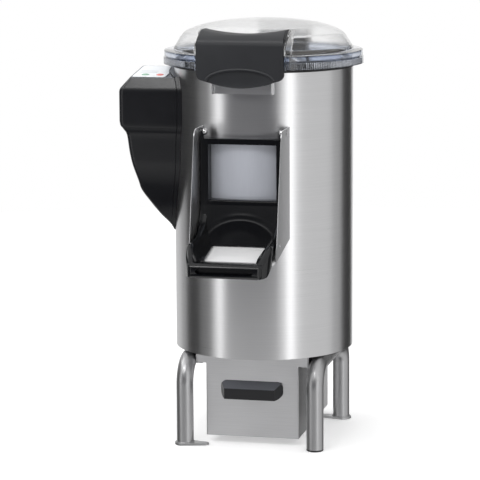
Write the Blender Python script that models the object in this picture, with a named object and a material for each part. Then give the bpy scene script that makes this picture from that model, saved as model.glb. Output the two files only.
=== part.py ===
# Floor-standing catering potato peeler: a stainless drum on two bent leg tubes, with a clear
# lid, an abrasive plate on a belt-driven shaft, a top-hung discharge door over a chute, a
# control box on the left and a filter drawer underneath. Metres, +Z up, the front faces -Y.
# Everything is modelled about the drum's axis; the footprint's centre is moved to the origin.

import math

import bmesh
import bpy
from mathutils import Matrix, Vector

# Driving dimensions of the whole machine
casing_radius = 0.200
casing_wall = 0.0015
casing_bottom = 0.2077
casing_top = 0.8420
leg_tube_radius = 0.019
leg_width_share = 0.74
leg_depth_share = 0.78
chute_width_share = 0.475
leg_half_width = casing_radius * leg_width_share
leg_half_depth = casing_radius * leg_depth_share
chute_half_width = casing_radius * chute_width_share
touching_gap = 0.0003
running_gap = 0.0015
cut_overrun = 0.030
weld_distance = 0.00001

casing_sides = 48
lid_sides = 36
small_sides = 16
tiny_sides = 12
smooth_angle_deg = 32.0


# Shaping tools shared by all the pieces
def turned(outline, sides):
    """A body turned about Z from (radius, height) points; it may begin and end on the axis."""
    body = bmesh.new()
    corners = [body.verts.new((radius, 0, height)) for radius, height in outline]
    edges = [body.edges.new(ends) for ends in zip(corners, corners[1:])]
    if outline[0][0] > 0:
        edges.append(body.edges.new((corners[-1], corners[0])))
    bmesh.ops.spin(body, geom=corners + edges, cent=(0, 0, 0), axis=(0, 0, 1),
                   angle=2 * math.pi, steps=sides, use_merge=True)
    bmesh.ops.remove_doubles(body, verts=body.verts, dist=weld_distance)
    bmesh.ops.recalc_face_normals(body, faces=body.faces)
    return body


def slab(outline, across, low, high):
    """A flat outline given thickness from low to high across X, Y or Z."""
    lay = {"X": lambda a, b: (low, a, b), "Y": lambda a, b: (a, low, b), "Z": lambda a, b: (a, b, low)}
    push = {"X": Vector((high - low, 0, 0)), "Y": Vector((0, high - low, 0)),
            "Z": Vector((0, 0, high - low))}
    body = bmesh.new()
    face = body.faces.new([body.verts.new(lay[across](a, b)) for a, b in outline])
    grown = bmesh.ops.extrude_face_region(body, geom=[face])["geom"]
    moved = [item for item in grown if isinstance(item, bmesh.types.BMVert)]
    bmesh.ops.translate(body, verts=moved, vec=push[across])
    bmesh.ops.recalc_face_normals(body, faces=body.faces)
    return body


def block(low, high):
    """A straight box between two corners."""
    size = [b - a for a, b in zip(low, high)]
    centre = [(a + b) / 2 for a, b in zip(low, high)]
    body = bmesh.new()
    bmesh.ops.create_cube(body, size=1, matrix=Matrix.Translation(centre) @ Matrix.Diagonal((*size, 1)))
    return body


def rod(radius, start, end, sides):
    """A round bar from one point to another."""
    along = Vector(end) - Vector(start)
    turn = along.to_track_quat("Z", "Y").to_matrix().to_4x4()
    place = Matrix.Translation((Vector(start) + Vector(end)) / 2) @ turn
    body = bmesh.new()
    bmesh.ops.create_cone(body, cap_ends=True, segments=sides, radius1=radius, radius2=radius,
                          depth=along.length, matrix=place)
    return body


def loft(rings):
    """A body skinned over rings of points that all have the same count."""
    body = bmesh.new()
    rows = [[body.verts.new(point) for point in ring] for ring in rings]
    for lower, upper in zip(rows, rows[1:]):
        for k in range(len(lower)):
            after = (k + 1) % len(lower)
            body.faces.new((lower[k], lower[after], upper[after], upper[k]))
    body.faces.new(rows[0])
    body.faces.new(rows[-1])
    bmesh.ops.recalc_face_normals(body, faces=body.faces)
    return body


def swept_tube(path, outer_radius, bore_radius, sides):
    """An open-ended tube whose path lies in a plane of constant X."""
    body = bmesh.new()
    skins = []
    for radius in (outer_radius, bore_radius):
        rows = []
        for before, point, after in zip(path[:1] + path, path, path[1:] + path[-1:]):
            ahead = (Vector(after) - Vector(before)).normalized()
            side = Vector((1, 0, 0))
            up = ahead.cross(side)
            angles = [2 * math.pi * k / sides for k in range(sides)]
            rows.append([body.verts.new(Vector(point) + radius * (math.cos(a) * side + math.sin(a) * up))
                         for a in angles])
        skins.append(rows)
    for rows in skins:
        for lower, upper in zip(rows, rows[1:]):
            for k in range(sides):
                after = (k + 1) % sides
                body.faces.new((lower[k], lower[after], upper[after], upper[k]))
    for end in (0, -1):
        outside = skins[0][end]
        inside = skins[1][end]
        for k in range(sides):
            after = (k + 1) % sides
            body.faces.new((outside[k], outside[after], inside[after], inside[k]))
    bmesh.ops.recalc_face_normals(body, faces=body.faces)
    return body


def arc(centre_a, centre_b, radius, from_deg, to_deg, steps):
    """Points on an arc, as (a, b) pairs."""
    angles = [math.radians(from_deg + (to_deg - from_deg) * k / steps) for k in range(steps + 1)]
    return [(centre_a + radius * math.cos(t), centre_b + radius * math.sin(t)) for t in angles]


def rounded(low_a, low_b, high_a, high_b, radius, steps=3):
    """A rectangle with round corners, as (a, b) pairs."""
    return (arc(high_a - radius, high_b - radius, radius, 0, 90, steps)
            + arc(low_a + radius, high_b - radius, radius, 90, 180, steps)
            + arc(low_a + radius, low_b + radius, radius, 180, 270, steps)
            + arc(high_a - radius, low_b + radius, radius, 270, 360, steps))


def bare_object(body):
    mesh = bpy.data.meshes.new("working_shape")
    body.to_mesh(mesh)
    body.free()
    shape = bpy.data.objects.new("working_shape", mesh)
    bpy.context.scene.collection.objects.link(shape)
    return shape


def boolean(body, tool, operation):
    """The body after a Boolean with the tool; both working shapes are used up."""
    first = bare_object(body)
    second = bare_object(tool)
    change = first.modifiers.new("change", "BOOLEAN")
    change.operation = operation
    change.object = second
    result = bmesh.new()
    result.from_object(first, bpy.context.evaluated_depsgraph_get())
    for shape in (first, second):
        mesh = shape.data
        bpy.data.objects.remove(shape)
        bpy.data.meshes.remove(mesh)
    bmesh.ops.remove_doubles(result, verts=result.verts, dist=weld_distance)
    bmesh.ops.dissolve_degenerate(result, edges=result.edges, dist=weld_distance)
    return result


def cut(body, *tools):
    for tool in tools:
        body = boolean(body, tool, "DIFFERENCE")
    return body


def fused(body, *tools):
    for tool in tools:
        body = boolean(body, tool, "UNION")
    return body


def common(body, tool):
    return boolean(body, tool, "INTERSECT")


def turn(body, matrix):
    bmesh.ops.transform(body, matrix=matrix, verts=body.verts)
    return body


def shifted(body, x, y, z):
    return turn(body, Matrix.Translation((x, y, z)))


def about_drum(body, angle_deg):
    """Swings a body made at the rear (+Y) round the drum's axis, anticlockwise from above."""
    return turn(body, Matrix.Rotation(math.radians(angle_deg), 4, "Z"))


# Finishes
FINISHES = {
    "brushed_stainless": ((0.60, 0.59, 0.57), 0.32, 1.0),
    "bright_steel": ((0.72, 0.72, 0.73), 0.18, 1.0),
    "black_abs": ((0.030, 0.031, 0.034), 0.42, 0.0),
    "black_rubber": ((0.015, 0.015, 0.016), 0.75, 0.0),
    "clear_polycarbonate": ((0.78, 0.82, 0.88), 0.08, 0.0),
    "corundum_lining": ((0.16, 0.15, 0.14), 0.95, 0.0),
    "cast_aluminium": ((0.62, 0.63, 0.64), 0.45, 1.0),
    "motor_paint": ((0.10, 0.13, 0.17), 0.55, 0.0),
    "panel_foil": ((0.78, 0.79, 0.80), 0.40, 0.0),
    "green_plastic": ((0.03, 0.42, 0.14), 0.35, 0.0),
    "red_plastic": ((0.62, 0.03, 0.03), 0.35, 0.0),
    "brass": ((0.70, 0.52, 0.22), 0.35, 1.0),
    "circuit_board": ((0.03, 0.20, 0.09), 0.5, 0.0),
}


def finish(name):
    material = bpy.data.materials.get(name)
    if material:
        return material
    colour, roughness, metallic = FINISHES[name]
    material = bpy.data.materials.new(name)
    material.use_nodes = True
    shader = material.node_tree.nodes["Principled BSDF"]
    shader.inputs["Base Color"].default_value = (*colour, 1)
    shader.inputs["Roughness"].default_value = roughness
    shader.inputs["Metallic"].default_value = metallic
    return material


def axis_point(name, x, y, z, parent):
    """An empty on a joint's axis; x, y and z are in the drum's frame."""
    empty = bpy.data.objects.new(name, None)
    bpy.context.scene.collection.objects.link(empty)
    empty.parent = parent
    empty.location = (x, y, z)
    return empty


def piece(name, body, finish_name, carrier):
    """A named piece, modelled in the drum's frame and hung on its carrier's empty."""
    if carrier is not machine:
        bmesh.ops.translate(body, verts=body.verts, vec=-Vector(carrier.location))
    mesh = bpy.data.meshes.new(name)
    body.to_mesh(mesh)
    body.free()
    mesh.shade_smooth()
    mesh.set_sharp_from_angle(angle=math.radians(smooth_angle_deg))
    mesh.materials.append(finish(finish_name))
    item = bpy.data.objects.new(name, mesh)
    bpy.context.scene.collection.objects.link(item)
    item.parent = carrier
    return item


for old in list(bpy.data.objects):
    bpy.data.objects.remove(old)

# Lid sizes: a clear dome of 3 mm wall on a stepped flange that rests on the rim gasket
gasket_rise = 0.0027
lid_seat_gap = 0.0006
lid_skirt_height = 0.0195
lid_groove_height = 0.0042
lid_bead_height = 0.0095
lid_dome_height = 0.0645
lid_skirt_bottom = casing_top + gasket_rise + lid_seat_gap
lid_groove_bottom = lid_skirt_bottom + lid_skirt_height
lid_groove_top = lid_groove_bottom + lid_groove_height
lid_bead_top = lid_groove_top + lid_bead_height
lid_crown = lid_bead_top + lid_dome_height
lid_skirt_reach = 0.0235
lid_bead_step = 0.0020
lid_groove_depth = 0.0035
lid_foot_reach = 0.0025
lid_skirt_radius = casing_radius + lid_skirt_reach
lid_bead_radius = lid_skirt_radius - lid_bead_step
lid_groove_radius = lid_bead_radius - lid_groove_depth
lid_foot_radius = casing_radius + lid_foot_reach
lid_rib_bore = casing_radius - lid_foot_reach
lid_rib_width = 0.0050
lid_wall = 0.0032
lid_edge_round = 0.0015
dome_radius_shares = (0.587, 0.740, 0.858, 0.906, 0.966)
dome_height_shares = (0.862, 0.743, 0.597, 0.457, 0.178)

# Hinge of the lid, behind the drum
hinge_reach = 0.0360
hinge_rise = 0.0630
hinge_back = casing_radius + hinge_reach
hinge_height = casing_top + hinge_rise
hinge_pin_radius = 0.0040
hinge_ear_radius = 0.0120
hinge_ear_outside = 0.0610
hinge_ear_thickness = 0.0030

# Control box on the left of the drum
box_overhang = 0.1045
box_reach = casing_radius + box_overhang
box_front_share = 0.6025
box_depth_share = 0.755
box_front = casing_radius * box_front_share
box_depth = casing_radius * box_depth_share

# Chute and door handle in front of the drum: each step from the drum out to the handle's bar
cheek_corner_reach = 0.0625
cheek_lean = 0.0435
cheek_toe_reach = 0.0130
lip_reach = 0.0100
bar_clearance = 0.0260
bar_thickness = 0.0370
cheek_corner_front = casing_radius + cheek_corner_reach
cheek_bend_front = cheek_corner_front + cheek_lean
cheek_toe_front = cheek_bend_front + cheek_toe_reach
lip_front = cheek_toe_front + lip_reach
bar_back = lip_front + bar_clearance
bar_front = bar_back + bar_thickness

footprint_x = (box_reach - lid_skirt_radius) / 2
footprint_y = (bar_front - hinge_back - hinge_ear_radius) / 2
machine = bpy.data.objects.new("machine", None)
bpy.context.scene.collection.objects.link(machine)
machine.location = (footprint_x, footprint_y, 0)


# Outer casing: a rolled stainless cylinder with the discharge opening cut in its front
door_opening_width_share = 0.34
door_opening_half_width = casing_radius * door_opening_width_share
door_opening_bottom = 0.508
door_opening_height = 0.182
door_opening_top = door_opening_bottom + door_opening_height
box_cable_hole_radius = 0.014
box_cable_hole_drop = 0.202
box_cable_hole_height = casing_top - box_cable_hole_drop
box_side_angle_deg = 102.0
water_hole_drop = 0.042
water_hole_height = casing_top - water_hole_drop
water_angle_deg = -38.0
gland_hole_rise = 0.0543
gland_hole_height = casing_bottom + gland_hole_rise
gland_angle_deg = 28.0
water_tail_radius = 0.0080
gland_thread_radius = 0.0080
wall_hole_clearance = 0.0004


def drum_shell(outer, inner, bottom, top, sides):
    return turned([(outer, bottom), (outer, top), (inner, top), (inner, bottom)], sides)


def door_opening(extra):
    return block((-door_opening_half_width - extra, -casing_radius - cut_overrun,
                  door_opening_bottom - extra),
                 (door_opening_half_width + extra, -casing_radius + 2 * cut_overrun,
                  door_opening_top + extra))


def radial_hole(radius, height, angle_deg):
    hole = rod(radius, (0, casing_radius - cut_overrun, height), (0, casing_radius + cut_overrun, height),
               small_sides)
    return about_drum(hole, angle_deg)


def make_casing():
    shell = drum_shell(casing_radius, casing_radius - casing_wall, casing_bottom, casing_top, casing_sides)
    shell = cut(shell, door_opening(0),
                radial_hole(box_cable_hole_radius, box_cable_hole_height, box_side_angle_deg),
                radial_hole(water_tail_radius + wall_hole_clearance, water_hole_height, water_angle_deg),
                radial_hole(gland_thread_radius + wall_hole_clearance, gland_hole_height, gland_angle_deg))
    piece("outer_casing", shell, "brushed_stainless", machine)


# Rim gasket: a rubber edging pressed over the casing's top edge
gasket_lap = 0.0040
gasket_side = 0.0022


def make_rim_gasket():
    outside = casing_radius + gasket_side
    inside = casing_radius - casing_wall
    top = casing_top + gasket_rise
    outline = [(outside, casing_top - gasket_lap), (outside, top), (inside, top),
               (inside, casing_top + touching_gap), (casing_radius + touching_gap, casing_top + touching_gap),
               (casing_radius + touching_gap, casing_top - gasket_lap)]
    piece("rim_gasket", turned(outline, casing_sides), "black_rubber", machine)


# Bottom plate: a dished disc welded inside the casing's lower edge
base_sheet = 0.0020
base_flange = 0.0180
spout_side_share = 0.31
spout_back_share = 0.64
spout_x = -casing_radius * spout_side_share
spout_y = casing_radius * spout_back_share
spout_radius = 0.0270
spout_wall = 0.0015
spout_tail = 0.0177
spout_bottom = casing_bottom - spout_tail
motor_side_share = 0.39
motor_back_share = 0.49
motor_x = casing_radius * motor_side_share
motor_y = casing_radius * motor_back_share
spout_clearance = 0.0010


def make_bottom_plate():
    edge = casing_radius - casing_wall - running_gap
    top = casing_bottom + base_sheet
    outline = [(0, casing_bottom), (edge, casing_bottom), (edge, casing_bottom + base_flange),
               (edge - base_sheet, casing_bottom + base_flange), (edge - base_sheet, top), (0, top)]
    hole = rod(spout_radius + spout_clearance, (spout_x, spout_y, casing_bottom - cut_overrun),
               (spout_x, spout_y, casing_bottom + cut_overrun), small_sides)
    piece("bottom_plate", cut(turned(outline, lid_sides), hole), "brushed_stainless", machine)


# Legs: two bent tubes, each an upside-down U running from front to back under the drum
leg_tube_wall = 0.0015
leg_bend_radius = 0.052
leg_bend_steps = 5
leg_sides = 12
foot_thickness = 0.0050
foot_inward = 0.0450
foot_tip_radius = 0.0090
foot_heel_radius = 0.0235
cap_rim = 0.0035
cap_depth = 0.0180
cap_wall = 0.0030


def leg_run_height():
    return casing_bottom - touching_gap - leg_tube_radius


def make_leg(name, side, plate_at_front):
    top = leg_run_height()
    plate_end = foot_thickness + touching_gap
    cap_end = cap_rim + touching_gap
    front_end = plate_end if plate_at_front else cap_end
    rear_end = cap_end if plate_at_front else plate_end
    x = side * leg_half_width
    bend_y = leg_half_depth - leg_bend_radius
    bend_z = top - leg_bend_radius
    front = [(x, y, z) for y, z in arc(-bend_y, bend_z, leg_bend_radius, 180, 90, leg_bend_steps)]
    rear = [(x, y, z) for y, z in arc(bend_y, bend_z, leg_bend_radius, 90, 0, leg_bend_steps)]
    path = [(x, -leg_half_depth, front_end)] + front + rear + [(x, leg_half_depth, rear_end)]
    tube = swept_tube(path, leg_tube_radius, leg_tube_radius - leg_tube_wall, leg_sides)
    piece(name, tube, "brushed_stainless", machine)


def foot_plate(side, end):
    """A teardrop plate under the tube, its point towards the machine's middle."""
    heel = arc(0, 0, foot_heel_radius, 110, 250, 6)
    tip = arc(foot_inward, 0, foot_tip_radius, -70, 70, 4)
    outline = [(side * (leg_half_width - a), end * leg_half_depth + b) for a, b in heel + tip]
    return slab(outline, "Z", 0, foot_thickness)


def end_cap(side, end):
    """A plastic plug pushed up into a plain leg's open end."""
    outer = leg_tube_radius
    neck = leg_tube_radius - leg_tube_wall - touching_gap
    outline = [(0, 0), (outer - cap_wall / 2, 0), (outer, cap_wall / 2), (outer, cap_rim), (neck, cap_rim),
               (neck, cap_depth), (neck - cap_wall, cap_depth), (neck - cap_wall, cap_rim), (0, cap_rim)]
    return shifted(turned(outline, leg_sides), side * leg_half_width, end * leg_half_depth, 0)


def make_stand():
    make_leg("left_leg_tube", -1, True)
    make_leg("right_leg_tube", 1, False)
    piece("front_foot_plate", foot_plate(-1, -1), "brushed_stainless", machine)
    piece("rear_foot_plate", foot_plate(1, 1), "brushed_stainless", machine)
    piece("front_leg_cap", end_cap(1, -1), "black_rubber", machine)
    piece("rear_leg_cap", end_cap(-1, 1), "black_rubber", machine)


# Filter drawer: a folded stainless box hung by its side flanges in two C rails
rail_leg_gap = 0.0005
drawer_side_gap = 0.0230
drawer_front_share = 0.65
drawer_back_share = 1.06
rail_back_share = 0.69
rail_outside = leg_half_width - leg_tube_radius - rail_leg_gap
drawer_half_width = rail_outside - drawer_side_gap
drawer_front = casing_radius * drawer_front_share
drawer_back = casing_radius * drawer_back_share
rail_back = casing_radius * rail_back_share
drawer_bottom = 0.0166
drawer_wall = 0.0012
drawer_flange = 0.0150
rail_sheet = 0.0015
rail_lip = 0.0150
rail_drop = 0.0277
rail_shelf = casing_bottom - rail_drop
drawer_travel = 0.300


def drawer_top():
    return rail_shelf + rail_sheet + touching_gap + drawer_wall


def make_rails():
    top = casing_bottom - touching_gap
    outline = [(rail_outside, rail_shelf), (rail_outside, top), (rail_outside - rail_lip, top),
               (rail_outside - rail_lip, top - rail_sheet), (rail_outside - rail_sheet, top - rail_sheet),
               (rail_outside - rail_sheet, rail_shelf + rail_sheet),
               (rail_outside - rail_lip, rail_shelf + rail_sheet), (rail_outside - rail_lip, rail_shelf)]
    for side, name in ((-1, "left_drawer_rail"), (1, "right_drawer_rail")):
        ends = [(side * a, b) for a, b in outline]
        rail = slab(ends, "Y", -drawer_front, rail_back)
        piece(name, rail, "brushed_stainless", machine)


def make_drawer():
    top = drawer_top()
    low = (-drawer_half_width, -drawer_front, drawer_bottom)
    box = block(low, (drawer_half_width, drawer_back, top))
    rim = block((-drawer_half_width - drawer_flange, -drawer_front, top - drawer_wall),
                (drawer_half_width + drawer_flange, drawer_back, top))
    inside = block((-drawer_half_width + drawer_wall, -drawer_front + drawer_wall,
                    drawer_bottom + drawer_wall),
                   (drawer_half_width - drawer_wall, drawer_back - drawer_wall, top + cut_overrun))
    outlet = rod(outlet_bore, (0, drawer_back - cut_overrun, outlet_height),
                 (0, drawer_back + cut_overrun, outlet_height), small_sides)
    piece("drawer_box", cut(fused(box, rim), inside, outlet), "brushed_stainless", drawer)


# Drawer outlet: a flanged spigot at the back for the waste hose
outlet_height = 0.052
outlet_bore = 0.0200
outlet_wall = 0.0018
outlet_flange_radius = 0.0300
outlet_flange = 0.0025
outlet_length = 0.0300
outlet_tail = 0.0025
outlet_bead = 0.0012
outlet_bead_share = 0.78


def make_drawer_outlet():
    outside = outlet_bore - touching_gap
    inside = outside - outlet_wall
    bead = outlet_length * outlet_bead_share
    outline = [(inside, -outlet_tail), (outside, -outlet_tail), (outside, touching_gap),
               (outlet_flange_radius, touching_gap), (outlet_flange_radius, outlet_flange),
               (outside, outlet_flange), (outside, bead), (outside + outlet_bead, bead + outlet_bead),
               (outside, bead + 2 * outlet_bead), (outside, outlet_length), (inside, outlet_length)]
    spigot = turn(turned(outline, small_sides), Matrix.Rotation(math.radians(-90), 4, "X"))
    piece("drawer_outlet", shifted(spigot, 0, drawer_back, outlet_height), "bright_steel", drawer)


# Strainer: a slotted tray on a folded rim, standing on the drawer's floor
strainer_clearance = 0.0020
strainer_height = 0.0700
strainer_sheet = 0.0015
strainer_slot_rows = 13
strainer_slot_columns = 2
strainer_bridge_share = 0.5


def make_strainer():
    half = drawer_half_width - drawer_wall - strainer_clearance
    front = -drawer_front + drawer_wall + strainer_clearance
    back = drawer_back - drawer_wall - strainer_clearance
    foot = drawer_bottom + drawer_wall + touching_gap
    top = foot + strainer_height
    tray = bmesh.new()
    rows = 2 * strainer_slot_rows + 1
    columns = 2 * strainer_slot_columns + 1
    pitch = (back - front) / rows
    margin = half * 2 * strainer_bridge_share / columns
    slot = (half * 2 - margin * (strainer_slot_columns + 1)) / strainer_slot_columns
    across = [-half]
    for index in range(columns):
        across.append(across[-1] + (margin if index % 2 == 0 else slot))
    grid = [[tray.verts.new((x, front + pitch * row, top)) for x in across] for row in range(rows + 1)]
    for row in range(rows):
        for column in range(columns):
            if row % 2 == 1 and column % 2 == 1:
                continue
            tray.faces.new((grid[row][column], grid[row][column + 1], grid[row + 1][column + 1],
                            grid[row + 1][column]))
    rim = [edge for edge in tray.edges if edge.is_boundary and on_outline(edge, half, front, back)]
    folded = bmesh.ops.extrude_edge_only(tray, edges=rim)["geom"]
    lowered = [item for item in folded if isinstance(item, bmesh.types.BMVert)]
    bmesh.ops.translate(tray, verts=lowered, vec=(0, 0, foot - top))
    bmesh.ops.recalc_face_normals(tray, faces=tray.faces)
    item = piece("drawer_strainer", tray, "brushed_stainless", drawer)
    thick = item.modifiers.new("sheet", "SOLIDIFY")
    thick.thickness = strainer_sheet
    thick.offset = -1
    thick.use_even_offset = True


def on_outline(edge, half, front, back):
    """Whether both ends of an edge lie on the same outer side of the tray."""
    ends = [vert.co for vert in edge.verts]
    return (all(abs(abs(end.x) - half) < weld_distance for end in ends)
            or all(abs(end.y - front) < weld_distance for end in ends)
            or all(abs(end.y - back) < weld_distance for end in ends))


# Drawer handle: a moulded cup pull, closed on top and open to the fingers from below
pull_half_width = 0.0710
pull_drop = 0.0380
pull_height = 0.0370
pull_top = drawer_top() - pull_drop
pull_bottom = pull_top - pull_height
pull_reach = 0.0300
pull_slope = 0.0130
pull_corner = 0.0140
pull_wall = 0.0050
pull_back_wall = 0.0030


def make_drawer_pull():
    back = -drawer_front - touching_gap
    face = back - pull_reach
    outline = rounded(-pull_half_width, pull_bottom, pull_half_width, pull_top, pull_corner, 4)
    shape = slab(outline, "Y", face, back)
    wedge = slab([(face - cut_overrun, pull_top - pull_slope), (face, pull_top - pull_slope),
                  (back, pull_top), (back, pull_top + cut_overrun),
                  (face - cut_overrun, pull_top + cut_overrun)],
                 "X", -pull_half_width - cut_overrun, pull_half_width + cut_overrun)
    chamfers = [slab([(side * (pull_half_width - pull_corner), face), (side * pull_half_width, back),
                      (side * (pull_half_width + cut_overrun), back),
                      (side * (pull_half_width + cut_overrun), face - cut_overrun),
                      (side * (pull_half_width - pull_corner), face - cut_overrun)],
                     "Z", pull_bottom - cut_overrun, pull_top + cut_overrun) for side in (-1, 1)]
    pocket = block((-pull_half_width + 2 * pull_corner, face + pull_wall, pull_bottom - cut_overrun),
                   (pull_half_width - 2 * pull_corner, back - pull_back_wall,
                    pull_top - pull_slope - pull_wall))
    piece("drawer_pull", cut(shape, wedge, *chamfers, pocket), "black_abs", drawer)


# Chamber floor: the deck that parts the wet chamber from the motor space
deck_drop = 0.0280
deck_top = door_opening_bottom - deck_drop
deck_sheet = 0.0040
deck_flange = 0.0120
shaft_radius = 0.0125
housing_flange_radius = 0.0600
housing_neck_radius = 0.0330
housing_top_boss = 0.0060
deck_hub_hole = 0.0345


def make_chamber_floor():
    edge = casing_radius - casing_wall - touching_gap * 3
    under = deck_top - deck_sheet
    outline = [(deck_hub_hole, under), (edge, under), (edge, deck_top + deck_flange),
               (edge - deck_sheet, deck_top + deck_flange), (edge - deck_sheet, deck_top),
               (deck_hub_hole, deck_top)]
    hole = rod(spout_radius - spout_wall, (spout_x, spout_y, under - cut_overrun),
               (spout_x, spout_y, deck_top + cut_overrun / 4), small_sides)
    piece("chamber_floor", cut(turned(outline, lid_sides), hole), "cast_aluminium", machine)


# Abrasive lining: a corundum-coated sheet inside the chamber wall
lining_thickness = 0.0030
lining_seat_gap = 0.0010
lining_drop = 0.0110
lining_bottom = deck_top + deck_flange + lining_seat_gap
lining_top = casing_top - lining_drop
lining_hole_margin = 0.0030


def make_lining():
    outer = casing_radius - casing_wall - touching_gap * 2
    shell = drum_shell(outer, outer - lining_thickness, lining_bottom, lining_top, casing_sides)
    shell = cut(shell, door_opening(lining_hole_margin),
                radial_hole(water_tail_radius + 2 * wall_hole_clearance, water_hole_height, water_angle_deg))
    piece("abrasive_lining", shell, "corundum_lining", machine)


# Waste spout: carries peel and water from the deck down into the drawer
def make_waste_spout():
    top = deck_top - deck_sheet - touching_gap
    spout_flange = spout_radius + 4 * spout_wall
    outline = [(spout_radius, spout_bottom), (spout_radius, top - 2 * spout_wall),
               (spout_flange, top - 2 * spout_wall), (spout_flange, top), (spout_radius - spout_wall, top),
               (spout_radius - spout_wall, spout_bottom)]
    piece("waste_spout", shifted(turned(outline, small_sides), spout_x, spout_y, 0), "bright_steel", machine)


# Bearing housing: a flanged casting bolted up under the deck, with two ball bearings
housing_rise = 0.0923
housing_bottom = casing_bottom + housing_rise
housing_flange = 0.0100
bearing_outer = 0.0235
bearing_width = 0.0120
bearing_shoulder = 0.0180
bearing_fit = 0.0003
seal_outer = 0.0220
seal_height = 0.0080


def make_bearing_housing():
    top = deck_top - deck_sheet - touching_gap
    seat = bearing_outer + bearing_fit
    boss = deck_top + housing_top_boss
    outline = [(housing_neck_radius, housing_bottom), (housing_neck_radius, top - housing_flange),
               (housing_flange_radius, top - housing_flange), (housing_flange_radius, top),
               (housing_neck_radius, top), (housing_neck_radius, boss), (seal_outer + bearing_fit, boss),
               (seal_outer + bearing_fit, boss - seal_height), (seat, boss - seal_height),
               (seat, boss - seal_height - bearing_width - 2 * bearing_fit),
               (bearing_shoulder, boss - seal_height - bearing_width - 2 * bearing_fit),
               (bearing_shoulder, housing_bottom + bearing_width + 2 * bearing_fit),
               (seat, housing_bottom + bearing_width + 2 * bearing_fit), (seat, housing_bottom)]
    piece("bearing_housing", turned(outline, small_sides), "cast_aluminium", machine)


def bearing(low):
    bore = shaft_radius + bearing_fit
    groove = (bearing_outer - bore) / 4
    top = low + bearing_width
    outline = [(bore, low), (bearing_outer, low), (bearing_outer, top), (bearing_outer - groove, top),
               (bearing_outer - groove, top - groove / 2), (bore + groove, top - groove / 2),
               (bore + groove, top), (bore, top)]
    return turned(outline, small_sides)


def make_bearings():
    boss = deck_top + housing_top_boss
    piece("upper_bearing", bearing(boss - seal_height - bearing_width - bearing_fit), "bright_steel", machine)
    piece("lower_bearing", bearing(housing_bottom + bearing_fit), "bright_steel", machine)
    bore = shaft_radius + bearing_fit
    low = boss - seal_height + bearing_fit
    lip = [(bore, low), (seal_outer, low), (seal_outer, boss), (bore + bearing_fit, boss + seal_height / 4)]
    piece("shaft_seal", turned(lip, small_sides), "black_rubber", machine)


# Drive shaft with its driven pulley below and the abrasive plate above
shaft_rise = 0.0153
pulley_rise = 0.0050
plate_rise = 0.0200
plate_thickness = 0.0070
shaft_stub = 0.0050
shaft_bottom = casing_bottom + shaft_rise
pulley_bottom = shaft_bottom + pulley_rise
plate_bottom = deck_top + plate_rise
shaft_top = plate_bottom + plate_thickness + shaft_stub
pulley_height = 0.0200
driven_pulley_share = 0.41
motor_pulley_share = 0.13
driven_pulley_radius = casing_radius * driven_pulley_share
motor_pulley_radius = casing_radius * motor_pulley_share
pulley_web = 0.0060
pulley_rim = 0.0170
pulley_hub = 0.0090
pulley_sides = 24
groove_floor_width = 0.0100
groove_mouth_width = 0.0140
belt_groove_depth = 0.0110
belt_height = 0.0080
belt_clearance = 0.0006
belt_big_steps = 20
belt_small_steps = 8
key_clearance = 0.0003


def grooved_rim(radius):
    """The outside of a V-belt pulley, bottom to top."""
    middle = pulley_bottom + pulley_height / 2
    floor = radius - belt_groove_depth
    return [(radius, pulley_bottom), (radius, middle - groove_mouth_width / 2),
            (floor, middle - groove_floor_width / 2), (floor, middle + groove_floor_width / 2),
            (radius, middle + groove_mouth_width / 2), (radius, pulley_bottom + pulley_height)]


def make_drive():
    piece("drive_shaft", turned([(0, shaft_bottom), (shaft_radius, shaft_bottom), (shaft_radius, shaft_top),
                                 (0, shaft_top)], small_sides), "bright_steel", drive)
    bore = shaft_radius + key_clearance
    top = pulley_bottom + pulley_height
    inner = driven_pulley_radius - pulley_rim
    hub = shaft_radius + pulley_hub
    middle = pulley_bottom + pulley_height / 2
    outline = grooved_rim(driven_pulley_radius) + [
        (inner, top), (inner, middle + pulley_web / 2), (hub, middle + pulley_web / 2), (hub, top),
        (bore, top), (bore, pulley_bottom), (hub, pulley_bottom), (hub, middle - pulley_web / 2),
        (inner, middle - pulley_web / 2), (inner, pulley_bottom)]
    piece("driven_pulley", turned(outline, pulley_sides), "cast_aluminium", drive)


# Abrasive plate: an aluminium disc with three low waves that toss the potatoes
plate_radius_share = 0.94
plate_radius = casing_radius * plate_radius_share
plate_hub_radius = 0.0300
plate_rim_depth = 0.0050
wave_count = 3
wave_height = 0.0130
wave_half_width = 0.0340
wave_inner = 0.0400
wave_sections = 5
wave_profile_points = 7
knob_radius = 0.0160
knob_height = 0.0200
scraper_count = 2
scraper_thickness = 0.0040
scraper_floor_gap = 0.0025
scraper_collar = 0.0080


def wave_ring(along, reach):
    """One cross-section of a wave: a half cosine hump that starts flush inside the disc."""
    fade = math.sin(math.pi * min(max(along, 0), 1)) ** (1 / 2)
    base = plate_bottom + plate_thickness / 2
    crest = plate_thickness / 2 + touching_gap + wave_height * fade
    points = []
    for index in range(wave_profile_points):
        share = 2 * index / (wave_profile_points - 1) - 1
        rise = crest * (1 + math.cos(math.pi * share)) / 2
        points.append((reach, wave_half_width * share, base + rise))
    points.append((reach, wave_half_width, base - touching_gap))
    points.append((reach, -wave_half_width, base - touching_gap))
    return points


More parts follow.
